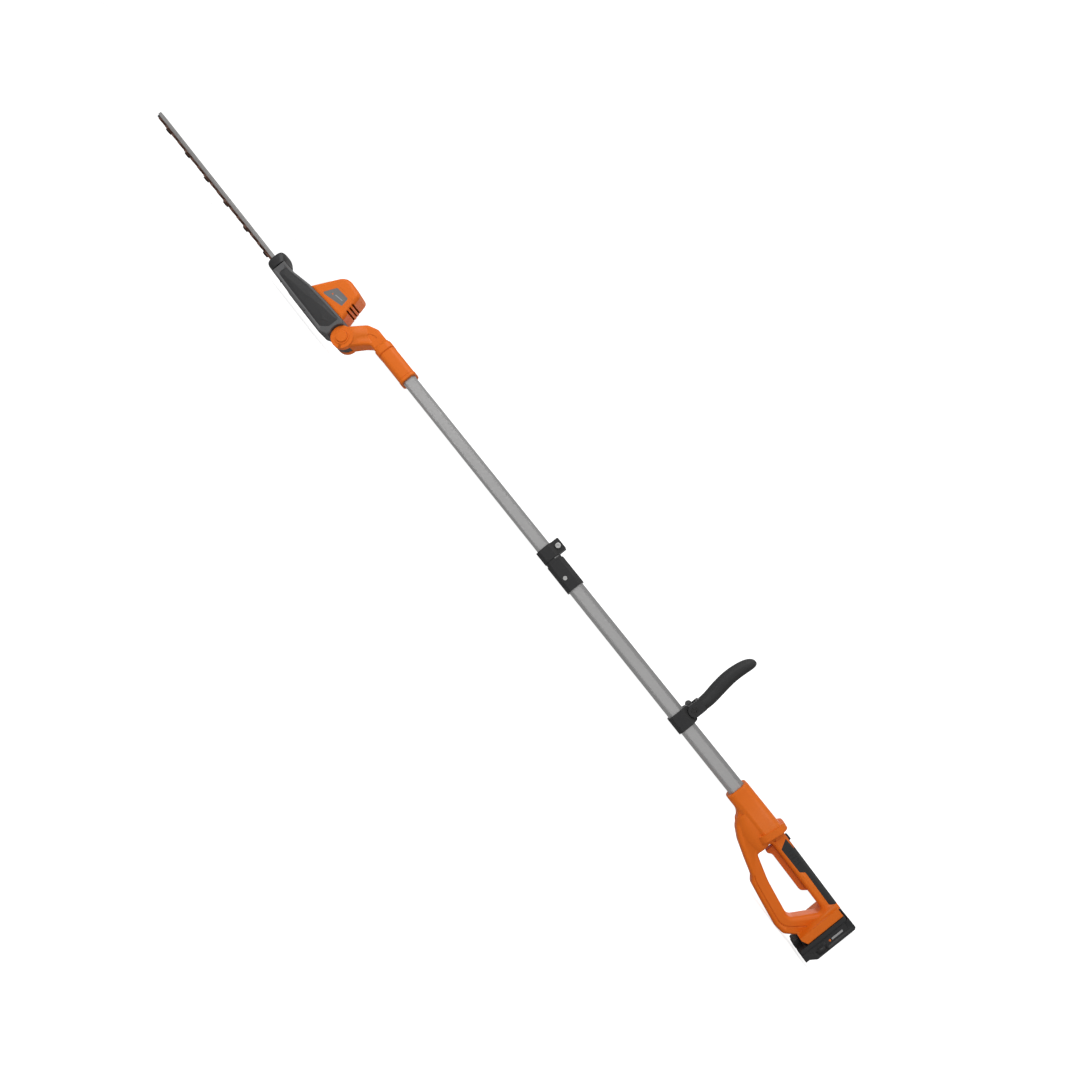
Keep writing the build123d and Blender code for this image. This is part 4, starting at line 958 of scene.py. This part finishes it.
    def creased_panel(self, name: str, box: Box, seat: float, face: float,
                      side: int) -> bpy.types.Object:
        """A panel whose face falls away from a crest and from a fold that branches off it.

        Args:
            name: Name of the object.
            box: Box that the outlines are given in.
            seat: Y of the seat.
            face: Y of the crest.
            side: -1 for the near side, 1 for the far one.

        Returns:
            The panel.
        """
        shoulder = face - side * self.panel_rise
        brow = face - side * self.panel_fall
        rim = box.outline(self.panel_rim)
        inner = box.outline((*self.panel_top, *self.panel_crest, *self.panel_fold))
        count = len(self.panel_top)
        edges = [(k, (k + 1) % count) for k in range(count)]
        edges += [(count + k, count + k + 1) for k in range(len(self.panel_crest) - 1)]
        first = count + len(self.panel_crest)
        edges += [(first + k, first + k + 1) for k in range(len(self.panel_fold) - 1)]
        spots, _, faces, origins, *_ = delaunay_2d_cdt([Vector(p) for p in inner], edges, [], 1,
                                                       10 * TINY)
        work = bmesh.new()
        depth = [brow] * count + [face] * (len(inner) - count)
        cap = [work.verts.new(Vector((p.x, depth[source[0]] if source else face, p.y)) * MM)
               for p, source in zip(spots, origins)]
        for corner_set in faces:
            work.faces.new([cap[k] for k in corner_set])
        low = [work.verts.new(Vector((x, seat, z)) * MM) for x, z in rim]
        mid = [work.verts.new(Vector((x, shoulder, z)) * MM) for x, z in rim]
        for ring, upper in ((low, mid), (mid, cap)):
            for k in range(count):
                after = (k + 1) % count
                work.faces.new((ring[k], ring[after], upper[after], upper[k]))
        work.faces.new(low)
        bmesh.ops.recalc_face_normals(work, faces=work.faces)
        return object_from(name, work)

    def build_collar(self) -> None:
        """The flared collar that runs back over the case, with the blades' mouth through it."""
        box = Box("blade_collar")
        rings = [self.squircle(box.low.x + x, half, box.low.z + low, box.low.z + high)
                 for x, half, low, high in self.collar_stations]
        front, back = self.collar_stations[0][0], self.collar_stations[-1][0]
        for x, grow in ((back, 0.0), (front + self.mouth_lip, 0.0), (front, self.mouth_flare)):
            rings.append(self.squircle(box.low.x + x, self.mouth_half + grow,
                                       box.low.z + self.mouth_low - grow,
                                       box.low.z + self.mouth_high + grow, self.mouth_power))
        self.place(round_over(ring_mesh("collar_flare", rings, around=True)), "plastic_black",
                   replaces=["blade_collar"])

    @staticmethod
    def squircle(x: float, half: float, low: float, high: float, power: float = 3.4,
                 count: int = 40) -> list[Point3]:
        """A rounded section across the case.

        Args:
            x: Its station.
            half: Half its width.
            low: Its lowest Z.
            high: Its highest Z.
            power: How square it is.
            count: Points around it.

        Returns:
            The section's points.
        """
        ring = []
        for k in range(count):
            turn = 2 * math.pi * k / count
            c, s = math.cos(turn), math.sin(turn)
            y = half * math.copysign(abs(c) ** (2 / power), c)
            z = (low + high) / 2 + (high - low) / 2 * math.copysign(abs(s) ** (2 / power), s)
            ring.append((x, y, z))
        return ring

    def build_label_marks(self) -> None:
        """A plain bar and a plain dot on each label, in place of any name."""
        for node, side in (("label_left", -1), ("label_right", 1)):
            box = Box(node)
            face = box.low.y if side < 0 else box.high.y
            proud = face + side * self.mark_height
            self.place(side_slab(f"{node}_bar", box.outline(self.mark_bar), *sorted((face, proud))),
                       "gauge_grey")
            disc = [(0, face), (self.mark_dot_radius, face), (self.mark_dot_radius, proud),
                    (0, proud)]
            self.place(lathe(f"{node}_dot", disc, box.outline([self.mark_dot])[0], 24),
                       "housing_orange")


@dataclass
class Knuckle(SubAssembly):
    """The tilting joint and the elbow that holds the inner tube."""

    body: str = "extension"
    recess: tuple = ((59.8, 75.0), (61.6, 72.6), (65.5, 71.6), (80.0, 71.6), (81.6, 73.0),
                     (81.6, 84.2), (80.2, 85.6), (73.0, 84.6), (65.0, 80.8), (60.6, 77.4))
    recess_depth: float = 0.9
    cheek_half: float = 17.4
    cutter_reach: float = 4.0
    spring_travel: float = 2.3

    nodes = {
        "elbow_left": "housing_orange", "elbow_right": "housing_orange",
        "elbow_screws": "fastener_steel", "pivot_bolt": "fastener_steel",
        "tilt_spring": "spring_steel", "tilt_button": "housing_orange",
    }

    def build(self) -> None:
        """Builds and dresses the knuckle."""
        self.dress_nodes()
        self.build_elbow()
        self.place_spring("tilt_spring", "tilt_release_press", (0.0, 1.0, 0.0),
                          self.spring_travel)

    def build_elbow(self) -> None:
        """The two elbow halves, each with a shallow recess in its cheek."""
        for node, side in (("elbow_left", -1), ("elbow_right", 1)):
            box = Box(node)
            half = copy_of_node(node, f"{node}_shell")
            near, far = sorted((side * (self.cheek_half - self.recess_depth),
                                side * (self.cheek_half + self.cutter_reach)))
            cutter = side_slab("cut", box.outline(self.recess), near, far)
            self.place(carve(half, [cutter]), "housing_orange", replaces=[node])


@dataclass
class Pole(SubAssembly):
    """The telescoping tubes and the clamp between them."""

    body: str = "pole"
    outer_corner: float = 6.5
    inner_corner: float = 5.6
    wall: float = 1.3
    groove_width: float = 0.9
    groove_depth: float = 0.55
    groove_inset: float = 0.75
    groove_slope: float = 0.15
    inside_corner_share: float = 0.586
    end_chamfer: float = 0.3
    relief: tuple = ((2.5, 34.6), (25.5, 34.6), (25.5, 36.6), (2.5, 36.6))
    relief_from: float = 8.6
    relief_to: float = 14.0
    sleeve_sharp: float = 10.0

    nodes = {
        "outer_tube": "tube_aluminium", "inner_tube": "tube_aluminium",
        "inner_plug": "plastic_black", "clamp_sleeve": "plastic_black",
        "sleeve_screws": "fastener_steel", "clamp_bolt": "fastener_steel",
        "cam_pin": "fastener_steel", "cam_lever": "plastic_black",
    }

    def build(self) -> None:
        """Builds and dresses the pole."""
        self.dress_nodes()
        self.build_tube("outer_tube", self.outer_corner, "pole")
        self.build_tube("inner_tube", self.inner_corner, "extension")
        self.build_clamp()

    def build_tube(self, node: str, corner: float, body: str) -> None:
        """An extruded tube with a fine groove beside each of its corner facets.

        Args:
            node: The frame node that it stands for.
            corner: Leg of the corner facet.
            body: Body it rides on.
        """
        box = Box(node)
        half = (box.high.y - box.low.y) / 2
        middle = (box.high.z + box.low.z) / 2
        outside = self.section(half, corner, True)
        inside = self.section(half - self.wall, corner - self.inside_corner_share * self.wall,
                              False)
        cut = self.end_chamfer
        ends = [(box.low.x, cut), (box.low.x + cut, 0.0), (box.high.x - cut, 0.0),
                (box.high.x, cut)]
        rings = [[(x, y * (1 - cut / half), middle + z * (1 - cut / half)) for y, z in outside]
                 for x, cut in ends]
        rings += [[(x, y, middle + z) for y, z in inside] for x in (box.high.x, box.low.x)]
        self.place(ring_mesh(f"{node}_extrusion", rings, around=True), "tube_aluminium", body,
                   replaces=[node])

    def section(self, half: float, corner: float, grooved: bool) -> list[Point2]:
        """The tube's section, with the same count of points inside and out.

        Args:
            half: Half its size.
            corner: Leg of the corner facet.
            grooved: Whether the grooves are sunk.

        Returns:
            Its points (y, z).
        """
        flat = half - corner
        sunk = self.groove_depth if grooved else 0.0
        near = flat - self.groove_inset
        far = near - self.groove_width
        slope = self.groove_slope
        side = [(half, -flat), (half, -near), (half - sunk, -near + slope),
                (half - sunk, -far - slope), (half, -far), (half, far),
                (half - sunk, far + slope), (half - sunk, near - slope), (half, near), (half, flat)]
        ring: list[Point2] = []
        for quarter in range(4):
            turn = quarter * math.pi / 2
            c, s = round(math.cos(turn)), round(math.sin(turn))
            ring += [(c * y - s * z, s * y + c * z) for y, z in side]
        return ring

    def build_clamp(self) -> None:
        """The clamp sleeve with the relief grooves of its mould."""
        box = Box("clamp_sleeve")
        sleeve = copy_of_node("clamp_sleeve", "clamp_sleeve_moulding")
        cutters = [side_slab("cut", box.outline(self.relief),
                             *sorted((side * self.relief_from, side * self.relief_to)))
                   for side in (-1, 1)]
        self.place(carve(sleeve, cutters), "plastic_black", replaces=["clamp_sleeve"],
                   sharp=self.sleeve_sharp)


@dataclass
class FrontHandle(SubAssembly):
    """The upright handle that slides on the pole."""

    body: str = "front_handle"
    stations: tuple = (
        (-2.4, 0.2, 22.0, 30.0), (0.0, 1.0, 25.2, 34.2), (6.0, 1.1, 26.6, 34.8),
        (22.0, 1.3, 27.8, 33.0),
        (41.0, -1.9, 29.8, 31.5), (61.0, -4.8, 29.8, 31.0), (80.0, -6.7, 28.8, 31.0),
        (99.0, -6.5, 27.6, 30.5), (118.0, -4.3, 26.4, 29.0), (130.0, -2.0, 23.6, 26.4),
        (137.0, -0.4, 18.4, 21.0), (141.0, 0.6, 11.6, 14.0), (142.5, 0.9, 5.0, 6.0),
    )
    seam_depth: float = 0.7
    seam_spots: tuple = (17, 31)
    section_points: int = 48
    section_power: float = 0.85
    shoulder_half: float = 16.0
    shoulder_rise: float = 7.5
    shoulder_drop: float = 1.0
    shoulder_points: int = 32
    cutter_reach: float = 20.0

    nodes = {
        "aux_clamp": "plastic_black", "aux_bolt": "fastener_steel", "aux_frame": "plastic_black",
        "aux_grip": "rubber_dark", "aux_knob": "knob_grey",
    }
    own_finish = {"aux_bolt": "blackened_steel"}

    def build(self) -> None:
        """Builds and dresses the front handle."""
        self.dress_nodes()
        self.build_grip()

    def build_grip(self) -> None:
        """The soft grip: a curved bar with a seam down each side, cut to the frame's shoulder."""
        box = Box("aux_grip")
        pivot = Box("aux_bolt")
        middle = (pivot.low.x + pivot.high.x) / 2
        base = box.high.z - self.stations[-1][0]
        rings = [self.grip_section(middle + lean, base + z, wide / 2, deep / 2)
                 for z, lean, wide, deep in self.stations]
        grip = round_over(ring_mesh("front_grip_overmould", rings))
        turns = (2 * math.pi * k / self.shoulder_points for k in range(self.shoulder_points))
        shoulder = [(middle + self.shoulder_half * math.cos(turn),
                     base - self.shoulder_drop + self.shoulder_rise * math.sin(turn))
                    for turn in turns]
        frame_box = Box("aux_frame")
        clear = side_slab("cut", shoulder, frame_box.low.y - self.cutter_reach,
                          frame_box.high.y + self.cutter_reach)
        self.place(carve(grip, [clear]), "rubber_dark", replaces=["aux_grip"])

    def grip_section(self, x: float, z: float, half_x: float, half_y: float) -> list[Point3]:
        """One section of the grip, with a fine groove a third of the way round each side.

        Args:
            x: Middle of the section.
            z: Its height.
            half_x: Half its size along the pole.
            half_y: Half its width.

        Returns:
            The section's points.
        """
        ring = []
        for k in range(self.section_points):
            turn = 2 * math.pi * k / self.section_points
            c, s = math.cos(turn), math.sin(turn)
            px = half_x * math.copysign(abs(c) ** self.section_power, c)
            py = half_y * math.copysign(abs(s) ** self.section_power, s)
            if k in self.seam_spots:
                px -= self.seam_depth * c
                py -= self.seam_depth * s
            ring.append((x + px, py, z))
        return ring


@dataclass
class RearHandle(SubAssembly):
    """The closed rear handle with its trigger."""

    body: str = "pole"
    guard_line: tuple = ((139.0, 28.6), (146.0, 24.2), (165.0, 20.4), (188.0, 16.6), (212.0, 12.9),
                         (228.0, 11.2), (240.0, 15.6), (250.0, 27.6), (262.0, 46.0))
    groove_radius: float = 1.0
    groove_half: float = 16.0
    rib_start: float = 22.0
    rib_clear: float = 0.1
    rib_corner: float = 7.0
    rib_below_top: float = 0.9
    rib_height: float = 17.0
    rib_widen: float = 1.4
    rib_count: int = 5
    rib_pitch: float = 6.4
    rib_drop: float = 0.25
    rib_radius: float = 0.42
    spring_travel: float = 5.8

    nodes = {
        "handle_left": "housing_orange", "handle_right": "housing_orange",
        "grip_pad": "rubber_dark", "handle_screws": "fastener_steel",
        "trigger_pin": "fastener_steel", "trigger_spring": "spring_steel",
        "main_switch": "plastic_black", "terminal_block": "plastic_black",
        "trigger": "housing_orange", "lock_button": "plastic_black",
    }
    own_finish = {"trigger": "trigger_orange", "trigger_spring": "blackened_steel"}

    def build(self) -> None:
        """Builds and dresses the rear handle."""
        self.dress_nodes()
        self.build_shells()
        self.build_pad_ribs()
        self.place_spring("trigger_spring", "trigger_pull", (0.0, 0.0, 1.0),
                          self.spring_travel)

    def build_shells(self) -> None:
        """The two handle shells, each with the line that runs along the guard."""
        for node, side in (("handle_left", -1), ("handle_right", 1)):
            box = Box(node)
            shell = copy_of_node(node, f"{node}_shell")
            path = [(x, side * self.groove_half, z)
                    for x, z in smooth_path(box.outline(self.guard_line))]
            groove = tube_along("cut", path, self.groove_radius)
            self.place(carve(shell, [groove]), "housing_orange", replaces=[node])

    def build_pad_ribs(self) -> None:
        """Fine ribs over the front of the grip pad."""
        box = Box("grip_pad")
        half = box.high.y + self.rib_clear
        corner = self.rib_corner
        rib_top = box.high.z - box.low.z - self.rib_below_top
        profile = [(-half, rib_top - self.rib_height), (-half, rib_top - corner)]
        profile += arc_points((-half + corner, rib_top - corner), corner, 180, 90, 8)
        profile += arc_points((half - corner, rib_top - corner), corner, 90, 0, 8)
        profile += [(half, rib_top - corner), (half, rib_top - self.rib_height)]
        row = self.rows.repeat(self.rib_along(profile), self.rib_count,
                               (box.low.x + self.rib_start, 0, box.low.z),
                               (self.rib_pitch, 0, -self.rib_drop),
                               self.shop.material("rubber_dark"))
        self.place(row, "rubber_dark")

    def rib_along(self, profile: Sequence[Point2]) -> bpy.types.Object:
        """One rib that follows the pad's section.

        Args:
            profile: Points (y, z) in millimetres.

        Returns:
            The rib, in the plane X = 0.
        """
        rings = []
        for i, (y, z) in enumerate(profile):
            after = Vector(profile[min(i + 1, len(profile) - 1)])
            before = Vector(profile[max(i - 1, 0)])
            along = (after - before).normalized()
            outward = Vector((-along.y, along.x))
            rings.append([(self.rib_radius * self.rib_widen * math.cos(a),
                           y + outward.x * self.rib_radius * math.sin(a),
                           z + outward.y * self.rib_radius * math.sin(a))
                          for a in (2 * math.pi * k / 8 for k in range(8))])
        return ring_mesh("grip_pad_ribs", rings)


@dataclass
class BatteryPack(SubAssembly):
    """The slide-in battery."""

    body: str = "battery"
    stroke_half: float = 0.4
    stroke_depth: float = 0.7
    dot_drop: float = 4.6
    dot_profile: tuple = ((0, 0), (2.0, 0), (2.0, 0.3), (1.8, 0.4), (0, 0.4))
    dot_sink: float = 0.35
    spring_travel: float = 2.3
    label_field: tuple = ((19.2, 99.0), (8.4, 99.0), (8.4, 52.5), (19.2, 48.5))
    grip_field: tuple = ((12.0, 45.0), (3.6, 43.0), (3.6, 27.0), (12.0, 24.5))

    nodes = {
        "battery_case": "plastic_black", "battery_frame": "plastic_black",
        "battery_cells": "cell_wrap", "battery_gauge": "gauge_grey",
        "latch_spring": "spring_steel", "battery_latch": "plastic_black",
    }

    def build(self) -> None:
        """Builds and dresses the battery."""
        self.dress_nodes()
        self.build_recesses()
        self.build_marks()
        self.place_spring("latch_spring", "latch_press", (1.0, 0.0, 0.0),
                          self.spring_travel)

    def build_recesses(self) -> None:
        """The case with two outlined fields moulded into each side."""
        box = Box("battery_case")
        case = copy_of_node("battery_case", "battery_case_moulding")
        cutters = []
        for side in (-1, 1):
            near, far = sorted((side * (box.high.y - self.stroke_depth),
                                side * (box.high.y + OVERSHOOT)))
            for field_outline in (self.label_field, self.grip_field):
                for start, stop in zip(field_outline, (*field_outline[1:], field_outline[0])):
                    cutters.append(side_slab("cut", self.stroke(box, start, stop), near, far))
        self.place(carve(case, cutters), "plastic_black", replaces=["battery_case"])

    def stroke(self, box: Box, start: Point2, stop: Point2) -> list[Point2]:
        """A thin bar from one point to another.

        Args:
            box: Box that the points are given in.
            start: First point, from the box's rear and lower edges.
            stop: Last point.

        Returns:
            Its four corners.
        """
        first = Vector((box.high.x - start[0], box.low.z + start[1]))
        last = Vector((box.high.x - stop[0], box.low.z + stop[1]))
        along = (last - first).normalized() * self.stroke_half
        across = Vector((-along.y, along.x))
        return [tuple(first - along - across), tuple(last + along - across),
                tuple(last + along + across), tuple(first - along + across)]

    def build_marks(self) -> None:
        """A plain orange dot under each gauge bar."""
        box = Box("battery_gauge")
        for label, side in (("near", -1), ("far", 1)):
            face = side * (box.high.y - self.dot_sink)
            centre = ((box.low.x + box.high.x) / 2, box.low.z - self.dot_drop)
            profile = [(radius, face + side * rise) for radius, rise in self.dot_profile]
            self.place(lathe(f"battery_dot_{label}", profile, centre, 24), "housing_orange")


# ------------------------------------------------------------------ studio
@dataclass
class Studio:
    """Floor, soft light and the camera. Lengths are metres and angles degrees."""

    lens: float = 23.33
    sensor: float = 36.0
    yaw: float = 9.9
    roll: float = 51.25
    distance: float = 1.470
    aim: Point3 = (0.240, 0.0, 0.109)
    sky: float = 0.46
    floor_glow: float = 0.72
    surround: float = 1.3
    floor_half: float = 60.0
    floor_drop: float = 0.0004
    floor_grey: float = 0.62
    floor_roughness: float = 0.9
    clip: Point2 = (0.02, 200.0)
    lights: tuple = (
        ("key_light", (-1.5, -2.2, 1.9), 2.6, 66.0),
        ("fill_light", (1.2, -3.2, 0.9), 2.4, 15.0),
        ("back_light", (0.6, 2.8, 1.6), 2.4, 30.0),
    )

    def build(self) -> None:
        """Builds the whole set."""
        self.build_floor()
        self.build_sky()
        for light in self.lights:
            self.soft_light(*light)
        self.build_camera()
        view = bpy.context.scene.view_settings
        view.view_transform = "Standard"
        view.look = "None"

    def build_floor(self) -> None:
        """A wide pale floor."""
        work = bmesh.new()
        bmesh.ops.create_grid(work, x_segments=4, y_segments=4, size=self.floor_half)
        bmesh.ops.translate(work, verts=work.verts, vec=(0, 0, -self.floor_drop))
        floor = object_from("floor", work)
        material = bpy.data.materials.new("pale_floor")
        material.use_nodes = True
        tree = material.node_tree
        shader = tree.nodes["Principled BSDF"]
        shader.inputs["Base Color"].default_value = (*[self.floor_grey] * 3, 1.0)
        shader.inputs["Roughness"].default_value = self.floor_roughness
        shader.inputs["Specular IOR Level"].default_value = 0.0
        shader.inputs["Emission Color"].default_value = (1.0, 1.0, 1.0, 1.0)
        seen = tree.nodes.new("ShaderNodeLightPath").outputs["Is Camera Ray"]
        glow = tree.nodes.new("ShaderNodeMath")
        glow.operation = "MULTIPLY"
        glow.inputs[1].default_value = self.floor_glow
        tree.links.new(seen, glow.inputs[0])
        tree.links.new(glow.outputs[0], shader.inputs["Emission Strength"])
        floor.data.materials.append(material)

    def build_sky(self) -> None:
        """An even white surround that lights the object less than it shows."""
        world = bpy.data.worlds.new("studio")
        bpy.context.scene.world = world
        world.use_nodes = True
        nodes, links = world.node_tree.nodes, world.node_tree.links
        dim = nodes["Background"]
        bright = nodes.new("ShaderNodeBackground")
        for glow, strength in ((dim, self.sky), (bright, self.surround)):
            glow.inputs["Color"].default_value = (1.0, 1.0, 1.0, 1.0)
            glow.inputs["Strength"].default_value = strength
        path = nodes.new("ShaderNodeLightPath")
        mix = nodes.new("ShaderNodeMixShader")
        links.new(path.outputs["Is Camera Ray"], mix.inputs[0])
        links.new(dim.outputs[0], mix.inputs[1])
        links.new(bright.outputs[0], mix.inputs[2])
        links.new(mix.outputs[0], nodes["World Output"].inputs["Surface"])

    def soft_light(self, name: str, spot: Point3, size: float, power: float) -> None:
        """Adds a square soft light that points where the camera does.

        Args:
            name: Name of the light.
            spot: Its place in metres.
            size: Its side in metres.
            power: Its power in watts.
        """
        light = bpy.data.lights.new(name, "AREA")
        light.shape = "SQUARE"
        light.size = size
        light.energy = power
        holder = bpy.data.objects.new(name, light)
        bpy.context.scene.collection.objects.link(holder)
        holder.location = spot
        holder.rotation_mode = "QUATERNION"
        holder.rotation_quaternion = (Vector(self.aim) - Vector(spot)).to_track_quat("-Z", "Y")
        holder.visible_camera = False

    def build_camera(self) -> None:
        """The camera, turned about its own axis so that the pole runs across the picture."""
        turn = math.radians(self.yaw)
        back = Vector((math.sin(turn), -math.cos(turn), 0.0))
        right = Vector((math.cos(turn), math.sin(turn), 0.0))
        level = Matrix((right, Vector((0, 0, 1)), back)).transposed()
        data = bpy.data.cameras.new("camera")
        data.lens = self.lens
        data.sensor_width = self.sensor
        camera = bpy.data.objects.new("camera", data)
        bpy.context.scene.collection.objects.link(camera)
        rolled = level @ Matrix.Rotation(math.radians(self.roll), 3, "Z")
        spot = Matrix.Translation(Vector(self.aim) + back * self.distance)
        camera.matrix_world = spot @ rolled.to_4x4()
        data.clip_start, data.clip_end = self.clip
        bpy.context.scene.camera = camera


def main() -> None:
    """Builds every sub-assembly, then the studio."""
    logging.basicConfig(level=logging.INFO, format="%(message)s")
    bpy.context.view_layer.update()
    shop = FinishShop()
    rows = RowTree()
    for kind in (CuttingHead, Knuckle, Pole, FrontHandle, RearHandle, BatteryPack):
        LOG.info("building %s", kind.__name__)
        kind(shop, rows).build()
    Studio().build()


if __name__ == "__main__":
    main()
